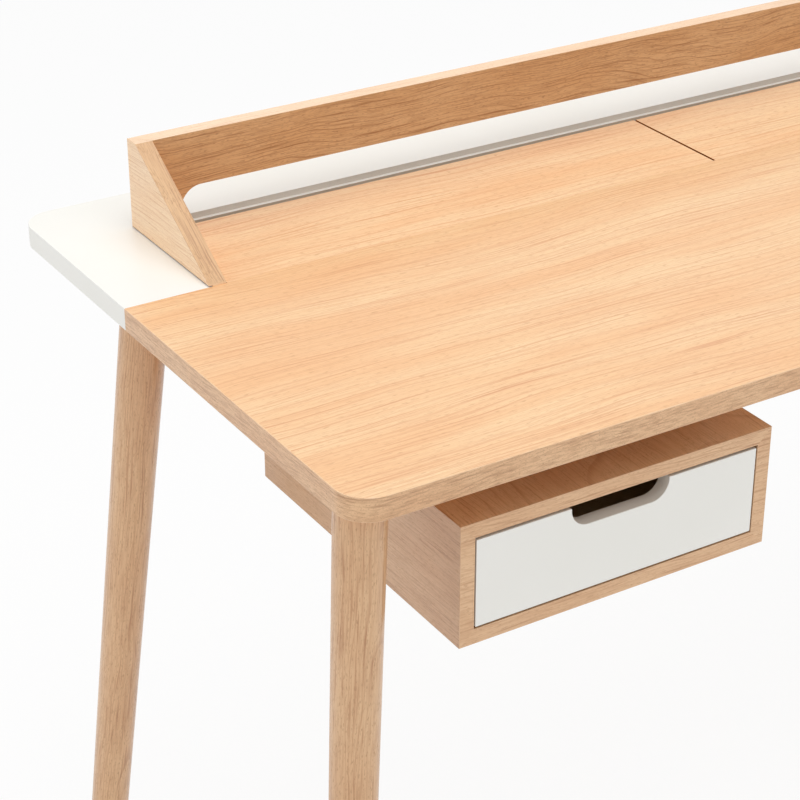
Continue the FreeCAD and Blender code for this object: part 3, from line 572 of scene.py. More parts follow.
# dark brown: darker end grain, and painted shade deepening the slit between the lids and the gallery ends'
# shadow line
OAK_CUT_END_AND_SHADE = WoodFinish("oak_cut_end_and_painted_shade", seen(180, 104, 44), seen(168, 94, 38), seen(134, 72, 28),
                     seen(112, 60, 24), seen(180, 104, 44), ring_width=2.5 * MM, sway=3 * MM, roughness=0.7,
                     coat=0.0, gloss=0.05)
OAK_PLAIN = WoodFinish("oak_underside", seen(226, 186, 144), seen(219, 175, 132), seen(188, 140, 98),
                       seen(160, 114, 78), seen(232, 196, 156))
PALE_WOOD = WoodFinish("pale_wood", seen(233, 208, 172), seen(227, 198, 158), seen(206, 172, 130),
                       seen(190, 154, 114), seen(238, 216, 184), ring_width=3 * MM, contrast=0.7, porous=0.3,
                       roughness=0.5, coat=0.1)
DOWEL_WOOD = WoodFinish("dowel_wood", PALE_WOOD.pale, PALE_WOOD.warm, PALE_WOOD.late, PALE_WOOD.pore,
                        PALE_WOOD.wear_highlight, contrast=0.7, porous=0.3, roughness=0.55, coat=0.0,
                        source=GrainSource.PLACE)
LACQUER = CoatedFinish("white_lacquer", seen(247, 246, 241), seen(244, 243, 237), seen(250, 249, 245), 0.34,
                       patch_density=4.0, grit_density=420.0, relief=0.03 * MM)
# greyer than the lacquer: the drawer front's raw edges, and painted shade on the rear board's edge inside the
# lids' slot
RAW_EDGE_AND_SLOT_SHADE = CoatedFinish("raw_edge_and_slot_shade", seen(232, 226, 216), seen(226, 219, 208), seen(238, 233, 225), 0.45,
                        patch_density=8.0, grit_density=420.0, relief=0.03 * MM)
TRAY_BOARD = CoatedFinish("tray_board", seen(232, 220, 203), seen(229, 216, 198), seen(238, 228, 213), 0.5,
                          patch_density=20.0, grit_density=700.0, relief=0.05 * MM)
STEEL = CoatedFinish("zinc_steel", seen(196, 196, 192), seen(176, 178, 176), seen(214, 214, 210), 0.3,
                     metallic=1.0, patch_density=90.0, grit_density=2500.0)
DARK_STEEL = CoatedFinish("dark_steel", seen(34, 31, 28), seen(26, 24, 22), seen(58, 54, 50), 0.5,
                          metallic=0.6, patch_density=120.0, grit_density=2600.0)
BRASS = CoatedFinish("turned_brass", seen(214, 178, 104), seen(196, 158, 86), seen(228, 196, 128), 0.28,
                     metallic=1.0, patch_density=120.0, grit_density=2600.0)
RUBBER = CoatedFinish("dark_rubber", seen(62, 60, 58), seen(54, 52, 50), seen(74, 72, 70), 0.7,
                      patch_density=150.0, grit_density=3000.0, relief=0.05 * MM)
GLIDE = CoatedFinish("glide_plastic", seen(72, 68, 64), seen(64, 60, 57), seen(92, 88, 84), 0.45,
                     patch_density=80.0, grit_density=2200.0, relief=0.03 * MM)


class GrainMap(ABC):
    """Says where in its wood each point of a piece was cut."""

    @abstractmethod
    def at(self, place: Vector, normal: Vector) -> Vector:
        """Metres along, across and into the wood at a place on a face of that normal."""


@dataclass(frozen=True)
class BoardMap(GrainMap):
    """Veneered board: the grain runs one way on its faces, and along the band on its ends."""

    along: Place = ALONG_X
    ends: Place = ALONG_Y
    offset: Place = (0, 0, 0)
    pace: float = 1.0

    def at(self, place: Vector, normal: Vector) -> Vector:
        """Metres along, across and into the wood at a place on a face of that normal."""
        run = Vector(self.along).normalized()
        if abs(normal.dot(run)) > END_FACE_SHARE:
            run = Vector(self.ends).normalized()
        run = (run - normal * normal.dot(run)).normalized()
        across = normal.cross(run)
        spot = Vector((place.dot(run) * self.pace, place.dot(across), place.dot(normal)))
        return spot + Vector(self.offset)


@dataclass(frozen=True)
class BandedMap(BoardMap):
    """Board whose edge band runs round its corners without a break."""

    band_offset: Place = (0, 0, 0)
    band_pace: float = 5.0
    front: float = 0.0

    def at(self, place: Vector, normal: Vector) -> Vector:
        """Metres along, across and into the wood at a place on a face of that normal."""
        if abs(normal.z) > LEVEL_SHARE:
            return super().at(place, normal)
        behind = place.y - self.front
        run = -place.x - behind if normal.x > SAME_PLACE else behind - place.x
        return Vector((run * self.band_pace, place.z, 0)) + Vector(self.band_offset)


@dataclass(frozen=True)
class RailMap(BoardMap):
    """Board of the gallery, whose top edge carries one strip of veneer over all its mitres."""

    strip_depth: float = 0.2

    def at(self, place: Vector, normal: Vector) -> Vector:
        """Metres along, across and into the wood at a place on a face of that normal."""
        if normal.z > TOP_FACE_SHARE:
            return Vector((place.x * self.pace, place.y, self.strip_depth))
        return super().at(place, normal)


@dataclass(frozen=True)
class TurnedMap(GrainMap):
    """Turned leg: solid wood whose grain follows the leg's own axis."""

    start: Place
    axis: Place
    offset: Place = (0, 0, 0)
    pace: float = 2.4

    def at(self, place: Vector, normal: Vector) -> Vector:
        """Metres along, across and into the wood at a place on a face of that normal."""
        axis = Vector(self.axis).normalized()
        side = axis.cross(Y_WAY).normalized()
        out = Vector(place) - Vector(self.start)
        spot = Vector((out.dot(axis) * self.pace, out.dot(side), out.dot(axis.cross(side))))
        return spot + Vector(self.offset)


FaceTest = Callable[[BMFace], bool]
Patch = tuple[FaceTest, Finish]


def ends_of(edge: BMEdge) -> list[Vector]:
    """Places of an edge's two ends."""
    return [vertex.co for vertex in edge.verts]


def any_edge(edge: BMEdge) -> bool:
    """Test that every edge passes."""
    return True


def level_edge(edge: BMEdge) -> bool:
    """Test for an edge that runs level."""
    first, second = ends_of(edge)
    return abs(first.z - second.z) < SAME_PLACE


def long_edge(edge: BMEdge) -> bool:
    """Test for an edge of a board, and not of a hole in it."""
    return edge.calc_length() > LONGEST_HOLE_EDGE


def square_edge(edge: BMEdge) -> bool:
    """Test for a board's edge that isn't on a mitre."""
    faces = [sorted(abs(part) for part in face.normal) for face in edge.link_faces]
    return long_edge(edge) and not any(parts[1] > MITRE_SHARE for parts in faces)


def band_face(face: BMFace) -> bool:
    """Test for a face of an edge band, and not of the board's upper or lower face."""
    return abs(face.normal.z) <= LEVEL_SHARE


def front_face(face: BMFace) -> bool:
    """Test for a face that looks to the front."""
    return face.normal.y < -END_FACE_SHARE


def top_face(face: BMFace) -> bool:
    """Test for a face that looks up."""
    return face.normal.z > TOP_FACE_SHARE


def stack(rings: Sequence[Sequence[Vector]], shape: BMesh | None = None) -> BMesh:
    """Solid through rings of as many points, closed at both ends.

    Args:
        rings: The rings, from one end to the other.
        shape: Mesh to add the solid to, or none for a new one.

    Returns:
        The mesh with the closed solid.
    """
    shape = shape or bmesh.new()
    rows = [[shape.verts.new(point) for point in ring] for ring in rings]
    for end in (rows[0], rows[-1]):
        shape.faces.new(end)
    for lower, upper in zip(rows, rows[1:]):
        for index in range(len(lower)):
            after = (index + 1) % len(lower)
            shape.faces.new((lower[index], lower[after], upper[after], upper[index]))
    bmesh.ops.recalc_face_normals(shape, faces=shape.faces)
    return shape


def slab(points: Sequence[tuple[float, float]], low: float, high: float) -> BMesh:
    """Level board over an outline, between two heights."""
    return stack([[Vector((*point, height)) for point in points] for height in (low, high)])


def arc(middle: tuple[float, float], radius: float, start: float, end: float,
        steps: int = 20) -> list[tuple[float, float]]:
    """Points of a round corner in its plane.

    Args:
        middle: Centre of the round.
        radius: Its radius.
        start: First angle in degrees.
        end: Last angle in degrees.
        steps: How many parts the round is divided into.

    Returns:
        The points from start to end.
    """
    angles = [math.radians(start + (end - start) * index / steps) for index in range(steps + 1)]
    return [(middle[0] + radius * math.cos(angle), middle[1] + radius * math.sin(angle)) for angle in angles]


def copied(node: str) -> BMesh:
    """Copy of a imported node's mesh, with its flat faces made whole."""
    shape = bmesh.new()
    shape.from_mesh(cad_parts[node].data)
    bmesh.ops.remove_doubles(shape, verts=shape.verts, dist=SAME_POINT)
    bmesh.ops.dissolve_limit(shape, angle_limit=FLAT_TURN, verts=shape.verts, edges=shape.edges)
    bmesh.ops.recalc_face_normals(shape, faces=shape.faces)
    return shape


def soften(shape: BMesh, radius: float, chosen: EdgeTest = any_edge, steps: int = 3) -> None:
    """Rounds the sharp edges that the test picks, and marks their faces as an arris.

    Args:
        shape: The solid.
        radius: Radius of the rounding.
        chosen: Test that picks edges.
        steps: How many parts the rounding is divided into.
    """
    layer = shape.faces.layers.float.new(ARRIS_LAYER)
    edges = [edge for edge in shape.edges if len(edge.link_faces) == 2
             and edge.calc_face_angle(0.0) > SHARP_TURN and chosen(edge)]
    made = bmesh.ops.bevel(shape, geom=edges, offset=radius, offset_type="OFFSET", segments=steps,
                           profile=ROUND_PROFILE, affect="EDGES", clamp_overlap=True)
    for face in made["faces"]:
        face[layer] = 1.0


def in_scene(name: str, data: bpy.types.ID) -> bpy.types.Object:
    """New object of that name and data, linked to the scene."""
    thing = bpy.data.objects.new(name, data)
    bpy.context.scene.collection.objects.link(thing)
    return thing


def cut_at(start: Place, step: Place, index: int) -> Place:
    """Place in the wood of one of several pieces that are cut a step apart."""
    return tuple(first + length * index for first, length in zip(start, step))


def quarter_turn(steps: int) -> list[float]:
    """Angles from 0 to a right angle in even steps."""
    return [math.radians(90 * step / steps) for step in range(steps + 1)]


@dataclass(frozen=True)
class Fitting:
    """How a finished mesh goes on the desk: what it stands for, where it rides and what it wears.

    It wears its finish all over, but for the faces that pass a patch's test. The first such patch counts.
    """

    node: str
    body: Body
    slot: Slot
    finish: Finish
    grain: GrainMap | None = None
    patches: tuple[Patch, ...] = ()

    def put_up(self, shape: BMesh) -> None:
        """Turns a solid into a dressed piece that stands for its node.

        Args:
            shape: The solid, which is used up.
        """
        shape.normal_update()
        for face in shape.faces:
            patches = (index for index, (test, finish) in enumerate(self.patches, 1) if test(face))
            face.material_index = next(patches, 0)
        mesh = bpy.data.meshes.new(f"dressed_{self.node}")
        shape.to_mesh(mesh)
        shape.free()
        for finish in (self.finish, *[finish for test, finish in self.patches]):
            mesh.materials.append(material_of(finish))
        if self.grain:
            layer = mesh.attributes.new(GRAIN_LAYER, "FLOAT_VECTOR", "CORNER")
            for face in mesh.polygons:
                for corner in face.loop_indices:
                    spot = mesh.vertices[mesh.loops[corner].vertex_index].co
                    layer.data[corner].vector = self.grain.at(spot, face.normal)
        mesh.shade_smooth()
        mesh.set_sharp_from_angle(angle=SHARP_TURN)
        piece = in_scene(mesh.name, mesh)
        piece.modifiers.new("even_normals", "WEIGHTED_NORMAL").keep_sharp = True
        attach(piece, self.body.value)
        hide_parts(self.node)
        log.info("%s rides on %s", piece.name, self.body.value)

    def put_up_copy(self, arris: float, chosen: EdgeTest) -> None:
        """Puts up the node's own solid, with the edges that the test picks softened.

        Args:
            arris: Radius of the softened edges.
            chosen: Test that picks edges.
        """
        shape = copied(self.node)
        soften(shape, arris, chosen)
        self.put_up(shape)


def dress_node(node: str, finish: Finish) -> None:
    """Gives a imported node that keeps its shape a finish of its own."""
    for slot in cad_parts[node].material_slots:
        slot.material = material_of(finish)
    log.info("%s keeps its shape in %s", node, material_of(finish).name)


@dataclass
class DeskTop:
    """The oak writing board and the white board behind it."""

    corner_radius: float = 35 * MM
    arris: float = 1 * MM
    shelf_depth: float = 20 * MM
    shelf_width: float = 30 * MM
    lip_reach: float = 0.95 * MM
    lip_depth: float = 3.1 * MM
    band_grain: Place = (0, -0.712, 0.02)

    def build(self) -> None:
        """Builds both boards."""
        self.front_board()
        self.rear_board()

    def front_board(self) -> None:
        """Oak board with two round corners and a band round its edge."""
        low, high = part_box("front_board")
        radius = self.corner_radius
        left = arc((low.x + radius, low.y + radius), radius, 180, 270)
        right = arc((high.x - radius, low.y + radius), radius, 270, 360)
        shape = slab([*left, *right, (high.x, high.y), (low.x, high.y)], low.z, high.z)

        def rim(edge: BMEdge) -> bool:
            """Test for the rims, apart from those along the seam."""
            return level_edge(edge) and min(point.y for point in ends_of(edge)) < high.y - SAME_PLACE
        soften(shape, self.arris, rim)
        self.lip(shape, high)
        grain = BandedMap(offset=TOP_GRAIN, band_offset=self.band_grain, front=low.y)
        band = band_face, OAK_EDGE
        Fitting("front_board", Body.FRAME, Slot.OAK, OAK_TOP, grain, (band,)).put_up(shape)

    def lip(self, shape: BMesh, corner: Vector) -> None:
        """Undercut lip that closes the seam in front of the lids to a hairline.

        Args:
            shape: The oak board, which gets the lip.
            corner: Its highest corner.
        """
        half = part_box("lid_right")[1].x
        section = [(corner.y, corner.z), (corner.y + self.lip_reach, corner.z),
                   (corner.y, corner.z - self.lip_depth)]
        stack([[Vector((x, *point)) for point in section] for x in (-half, half)], shape)

    def rear_board(self) -> None:
        """White board, a U round the lids' opening, with a shelf under each foot of the back panel."""
        low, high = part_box("rear_board")
        seat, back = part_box("gallery_left_end")[1].x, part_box("gallery_back_panel")[1].y
        radius, shelf, foot = self.corner_radius, back - self.shelf_depth, seat + self.shelf_width
        inner = [(seat, low.y), (seat, shelf), (foot, shelf), (foot, back)]
        mirrored = [(-x, y) for x, y in reversed(inner)]
        left = arc((low.x + radius, high.y - radius), radius, 90, 180)
        right = arc((high.x - radius, high.y - radius), radius, 0, 90)
        shape = slab([(low.x, low.y), *inner, *mirrored, (high.x, low.y), *right, *left], low.z, high.z)

        def rim(edge: BMEdge) -> bool:
            """Test for the outer rims."""
            ends = ends_of(edge)
            outside = all(abs(point.x) > high.x - radius - SAME_PLACE or point.y > high.y - SAME_PLACE
                          for point in ends)
            return level_edge(edge) and outside and max(point.y for point in ends) > low.y + SAME_PLACE
        soften(shape, self.arris, rim)
        # the slot's inner edge takes the greyer finish as painted shade
        slot_edge = front_face, RAW_EDGE_AND_SLOT_SHADE
        Fitting("rear_board", Body.FRAME, Slot.LACQUER, LACQUER, patches=(slot_edge,)).put_up(shape)


@dataclass
class Gallery:
    """The raking ends and the back panel with its long cut-out."""

    cutout_radius: float = 25 * MM
    cutout_height: float = 40.8 * MM
    foot_width: float = 30 * MM
    arris: float = 0.6 * MM
    shadow_line: float = 1.2 * MM
    slope: float = 0.3
    end_grain: Place = (0.4, -0.74, 0.71)
    panel_grain: Place = (0.3, -0.78, 0.31)
    grain_pace: float = 2.0

    def build(self) -> None:
        """Builds the ends and the panel."""
        for side in ("left", "right"):
            self.end(side)
        self.back_panel()

    def end(self, side: str) -> None:
        """One raking end: sides painted pale as painted light, a darker slope, the panel's top strip, and a
        shadow line at its foot painted dark inside as painted shade.
        """
        node = f"gallery_{side}_end"
        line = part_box(node)[0].z + self.shadow_line + SAME_PLACE

        def free(edge: BMEdge) -> bool:
            """Test for an edge above the shadow line that isn't on a mitre."""
            return square_edge(edge) and any(point.z > line for point in ends_of(edge))

        def inside(face: BMFace) -> bool:
            """Test for a face inside the shadow line."""
            return all(vertex.co.z < line for vertex in face.verts)

        def raking(face: BMFace) -> bool:
            """Test for a face of the slope."""
            return face.normal.z > self.slope
        # faces inside the shadow line take the dark brown finish as painted shade
        patches = (inside, OAK_CUT_END_AND_SHADE), (top_face, OAK_RAIL), (raking, OAK_RAKE)
        grain = RailMap(ALONG_Y, ALONG_Z, self.end_grain, self.grain_pace)
        # the ends' sides wear the pale finish as painted light
        Fitting(node, Body.FRAME, Slot.OAK, OAK_END_PAINTED_LIGHT, grain, patches).put_up_copy(self.arris, free)

    def back_panel(self) -> None:
        """Panel mitred to the ends, standing on two feet, in oak painted darker than the top as painted shade.
        """
        low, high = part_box("gallery_back_panel")
        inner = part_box("gallery_right_end")[0].x
        radius, sill, leg = self.cutout_radius, low.z + self.cutout_height, inner - self.foot_width
        left = arc((radius - leg, sill - radius), radius, 180, 90)
        right = arc((leg - radius, sill - radius), radius, 90, 0)

        def outline(half: float, y: float) -> list[Vector]:
            """Outline of one face, half as wide as the panel there."""
            points = [(-half, low.z), (-leg, low.z), *left, *right, (leg, low.z), (half, low.z),
                      (half, high.z), (-half, high.z)]
            return [Vector((x, y, z)) for x, z in points]

        def free(edge: BMEdge) -> bool:
            """Test for an edge that is neither on a mitre nor under a foot."""
            ends = ends_of(edge)
            mitre = all(abs(point.x) > inner - SAME_PLACE for point in ends) and ends[0].x * ends[1].x > 0
            foot = all(point.z < low.z + SAME_PLACE for point in ends)
            return not mitre and not foot
        shape = stack([outline(inner, low.y), outline(high.x, high.y)])
        soften(shape, self.arris, free)
        grain, strip = RailMap(offset=self.panel_grain, pace=self.grain_pace), (top_face, OAK_RAIL)
        Fitting("gallery_back_panel", Body.FRAME, Slot.OAK, OAK_PANEL_PAINTED_SHADE, grain, (strip,)).put_up(shape)


@dataclass
class Lids:
    """The two lids, whose veneer runs on from the writing board, and their pivots."""

    arris: float = 0.3 * MM
    end_share: float = 0.3
    band_grain: Place = (0.4, -0.72, 0.02)

    def build(self) -> None:
        """Builds the lids and dresses their pivots."""
        grain = BandedMap(offset=TOP_GRAIN, band_offset=self.band_grain)
        # the lids' ends are dark brown: darker end grain, and painted shade in the slit between them
        patches = (self.cut_end, OAK_CUT_END_AND_SHADE), (band_face, OAK_EDGE)
        for side, body in (("left", Body.LEFT_LID), ("right", Body.RIGHT_LID)):
            # the lids are painted a little paler than the top as painted light
            lid = Fitting(f"lid_{side}", body, Slot.OAK, OAK_LID_PAINTED_LIGHT, grain, patches)
            lid.put_up_copy(self.arris, long_edge)
            dress_node(f"lid_{side}_bushes", BRASS)
        for node in ("lid_outer_pins", "lid_centre_pin"):
            dress_node(node, STEEL)
        dress_node("lid_centre_plate", DARK_STEEL)

    def cut_end(self, face: BMFace) -> bool:
        """Test for a face of a lid's end, with its rims."""
        return abs(face.normal.x) > self.end_share


@dataclass
class Tray:
    """The compartment under the lids."""

    arris: float = 0.3 * MM
    walls: tuple[str, ...] = ("tray_front_wall", "tray_rear_wall", "tray_left_wall", "tray_right_wall",
                              "tray_divider", "tray_floor")
    ledge_wall: str = "tray_rear_wall"

    def build(self) -> None:
        """Builds the walls and the floor; the rear wall's top is white lacquer as painted light, a bright line
        standing in for the lit ledge.
        """
        for node in self.walls:
            patches = ((self.ledge, LACQUER),) if node == self.ledge_wall else ()
            wall = Fitting(node, Body.FRAME, Slot.GREY_BOARD, TRAY_BOARD, patches=patches)
            wall.put_up_copy(self.arris, long_edge)

    def ledge(self, face: BMFace) -> bool:
        """Test for a face of the ledge, which takes white lacquer as painted light."""
        return face.normal.z > LEVEL_SHARE


@dataclass
class DrawerCase:
    """The mitred oak case, its back, its runners and what hangs it."""

    arris: float = 0.5 * MM
    case_grain: Place = (0, -0.55, 0.1)
    case_grain_step: Place = (0.2, 0.09, 0)
    case_grain_pace: float = 2.4
    spacer_grain: Place = (0, 0.1, 0.06)
    spacer_grain_step: Place = (0.5, 0, 0)
    back_grain: Place = (0.1, 0.2, 0.3)
    runner_grain: Place = (0.3, 0.2, 0.1)

    def build(self) -> None:
        """Builds the case, the spacers above it, its back and its runners."""
        for index, node in enumerate(("case_left_side", "case_right_side", "case_top", "case_bottom")):
            cut = cut_at(self.case_grain, self.case_grain_step, index)
            grain = BoardMap(ALONG_Y, ALONG_X, cut, self.case_grain_pace)
            # the boards' sides are painted darker than their front edges as painted shade
            self.board(node, Slot.OAK, OAK_CASE_PAINTED_SHADE, grain, ((front_face, OAK_FRAME),))
        for index, node in enumerate(("case_spacer_front", "case_spacer_rear")):
            cut = cut_at(self.spacer_grain, self.spacer_grain_step, index)
            self.board(node, Slot.OAK, OAK_PLAIN, BoardMap(offset=cut))
        self.board("case_back", Slot.PALE_WOOD, PALE_WOOD, BoardMap(offset=self.back_grain))
        for node in ("runner_left", "runner_right"):
            self.board(node, Slot.PALE_WOOD, PALE_WOOD, BoardMap(ALONG_Y, ALONG_Z, self.runner_grain))

    def board(self, node: str, slot: Slot, finish: Finish, grain: GrainMap,
              patches: tuple[Patch, ...] = ()) -> None:
        """One board of the case with its free edges softened."""
        Fitting(node, Body.FRAME, slot, finish, grain, patches).put_up_copy(self.arris, square_edge)


@dataclass
class Drawer:
    """The drawer: a white front with a finger notch on a pale wooden box."""

    notch_width: float = 112.5 * MM
    notch_depth: float = 21.8 * MM
    notch_radius: float = 20 * MM
    arris: float = 0.7 * MM
    board_arris: float = 0.5 * MM
    box_grain: Place = (0.2, 0.15, 0.25)

    def build(self) -> None:
        """Builds the front and the box."""
        self.front()
        for board, along, ends in (("left_side", ALONG_Y, ALONG_Z), ("right_side", ALONG_Y, ALONG_Z),
                                   ("back", ALONG_X, ALONG_Z), ("bottom", ALONG_X, ALONG_Y)):
            grain = BoardMap(along, ends, self.box_grain)
            fitting = Fitting(f"drawer_{board}", Body.DRAWER, Slot.PALE_WOOD, PALE_WOOD, grain)
            fitting.put_up_copy(self.board_arris, long_edge)

    def front(self) -> None:
        """White front with a round-cornered notch in its upper edge."""
        low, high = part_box("drawer_front")
        middle, half = (low.x + high.x) / 2, self.notch_width / 2
        radius, sill = self.notch_radius, high.z - self.notch_depth
        right = arc((middle + half - radius, sill + radius), radius, 0, -90)
        left = arc((middle - half + radius, sill + radius), radius, -90, -180)
        points = [(low.x, low.z), (high.x, low.z), (high.x, high.z), (middle + half, high.z), *right, *left,
                  (middle - half, high.z), (low.x, high.z)]
        shape = stack([[Vector((x, y, z)) for x, z in points] for y in (low.y, high.y)])
        soften(shape, self.arris)

        def raw(face: BMFace) -> bool:
            """Test for a face of the raw edges, without their softened rims."""
            return abs(face.normal.y) < SAME_PLACE
        Fitting("drawer_front", Body.DRAWER, Slot.LACQUER, LACQUER, patches=((raw, RAW_EDGE_AND_SLOT_SHADE),)).put_up(shape)


@dataclass
class Legs:
    """Four tapered, splayed legs, cut level at both ends."""

    top_diameter: float = 50 * MM
    foot_diameter: float = 41 * MM
    bolt_diameter: float = 8 * MM
    glide_diameter: float = 30 * MM
    foot_arris: float = 1.5 * MM
    arris_steps: int = 4
    ring_shares: tuple[float, ...] = (0.25, 0.5, 0.75)
    sides: int = 72
    grain_start: Place = (0, 0.028, 0.045)
    grain_step: Place = (0.9, 0.009, 0.013)

    def build(self) -> None:
        """Builds the legs and dresses what holds them."""
        tops = self.corners("leg_hanger_bolts", self.bolt_diameter / 2)
        feet = self.corners("leg_glides", self.glide_diameter / 2)
        for row, end in enumerate(("front", "rear")):
            for column, side in enumerate(("left", "right")):
                node = f"leg_{end}_{side}"
                low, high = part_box(node)
                top = Vector((tops[column].x, tops[row].y, high.z))
                foot = Vector((feet[column].x, feet[row].y, low.z))
                self.leg(node, top, foot, cut_at(self.grain_start, self.grain_step, 2 * row + column))
        dress_node("leg_hanger_bolts", STEEL)
        dress_node("leg_inserts", BRASS)

    def corners(self, node: str, radius: float) -> tuple[Vector, Vector]:
        """Middles of the front left and the rear right of a node's four round solids."""
        low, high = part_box(node)
        inset = Vector((radius, radius))
        return low.xy + inset, high.xy - inset

    def leg(self, node: str, top: Vector, foot: Vector, cut: Place) -> None:
        """One leg between the middles of its two ends.

        Args:
            node: Node that the leg stands for.
            top: Middle of its upper end.
            foot: Middle of its lower end.
            cut: Where in the log it was cut.
        """
        length = (foot - top).length
        axis = (foot - top) / length
        side = axis.cross(Y_WAY).normalized()
        out = axis.cross(side)
        taper = (self.foot_diameter - self.top_diameter) / 2 / length

        def ring(level: float, inset: float = 0.0) -> list[Vector]:
            """Ring of the leg's surface at a level, drawn in by an inset."""
            points = []
            for index in range(self.sides):
                angle = math.tau * index / self.sides
                spoke = side * math.cos(angle) + out * math.sin(angle)
                radius = self.top_diameter / 2 - inset
                run = (level - top.z - radius * spoke.z) / (axis.z + taper * spoke.z)
                points.append(top + axis * run + spoke * (radius + taper * run))
            return points
        turn = self.foot_arris
        rings = [ring(foot.z + turn * (1 - math.cos(angle)), turn * (1 - math.sin(angle)))
                 for angle in quarter_turn(self.arris_steps)]
        rings += [ring(foot.z + (top.z - foot.z) * share) for share in self.ring_shares]
        rings.append(ring(top.z))
        grain = TurnedMap(tuple(top), tuple(axis), cut)
        Fitting(node, Body.FRAME, Slot.OAK, OAK_LEG, grain).put_up(stack(rings))


@dataclass
class Bearers:
    """The two bearers that tie the boards together from below."""

    arris: float = 1 * MM
    grain_start: Place = (0, 0.2, 0.1)
    grain_step: Place = (0.6, 0, 0)

    def build(self) -> None:
        """Builds both bearers."""
        for index, node in enumerate(("left_bearer", "right_bearer")):
            grain = BoardMap(ALONG_Y, ALONG_Z, cut_at(self.grain_start, self.grain_step, index))
            Fitting(node, Body.FRAME, Slot.OAK, OAK_PLAIN, grain).put_up_copy(self.arris, long_edge)


Reach = Callable[[float], float]
Box = tuple[Vector, Vector]


def circle(radius: float) -> Reach:
    """Reach of a circle at any angle."""
    return lambda angle: radius


def turned(at: Vector, way: Vector, rows: Sequence[tuple[Reach, float]],
           angles: Sequence[float]) -> BMesh:
    """Solid turned about a line.

    Args:
        at: Where the line starts.
        way: Which way it runs.
        rows: For each ring, its reach at an angle and its distance along the line.
        angles: Angles of each ring's points.

    Returns:
        The closed solid.
    """
    turn = Z_WAY.rotation_difference(way).to_matrix()

    def point(reach: float, angle: float, run: float) -> Vector:
        """Point of a ring at an angle."""
        return at + turn @ Vector((reach * math.cos(angle), reach * math.sin(angle), run))
    return stack([[point(reach(angle), angle, run) for angle in angles] for reach, run in rows])


def solid_boxes(node: str) -> list[Box]:
    """Boxes of the separate solids in a node.

    Args:
        node: The node.

    Returns:
        Lowest and highest corner of each solid.
    """
    shape = copied(node)
    left, boxes = set(shape.verts), []
    while left:
        solid, rim = set(), [left.pop()]
        while rim:
            vertex = rim.pop()
            solid.add(vertex)
            near = {link.other_vert(vertex) for link in vertex.link_edges} & left
            left -= near
            rim.extend(near)
        places = [vertex.co for vertex in solid]
        boxes.append(tuple(Vector(pick(place[axis] for place in places) for axis in range(3))
                           for pick in (min, max)))
    shape.free()
    return sorted(boxes, key=lambda box: tuple(box[0]))


def put_up_together(fitting: Fitting, shapes: Iterable[BMesh]) -> None:
    """Puts several solids up as one piece."""
    whole = bmesh.new()
    for shape in shapes:
        part = bpy.data.meshes.new("part")
        shape.to_mesh(part)
        shape.free()
        whole.from_mesh(part)
        bpy.data.meshes.remove(part)
    fitting.put_up(whole)


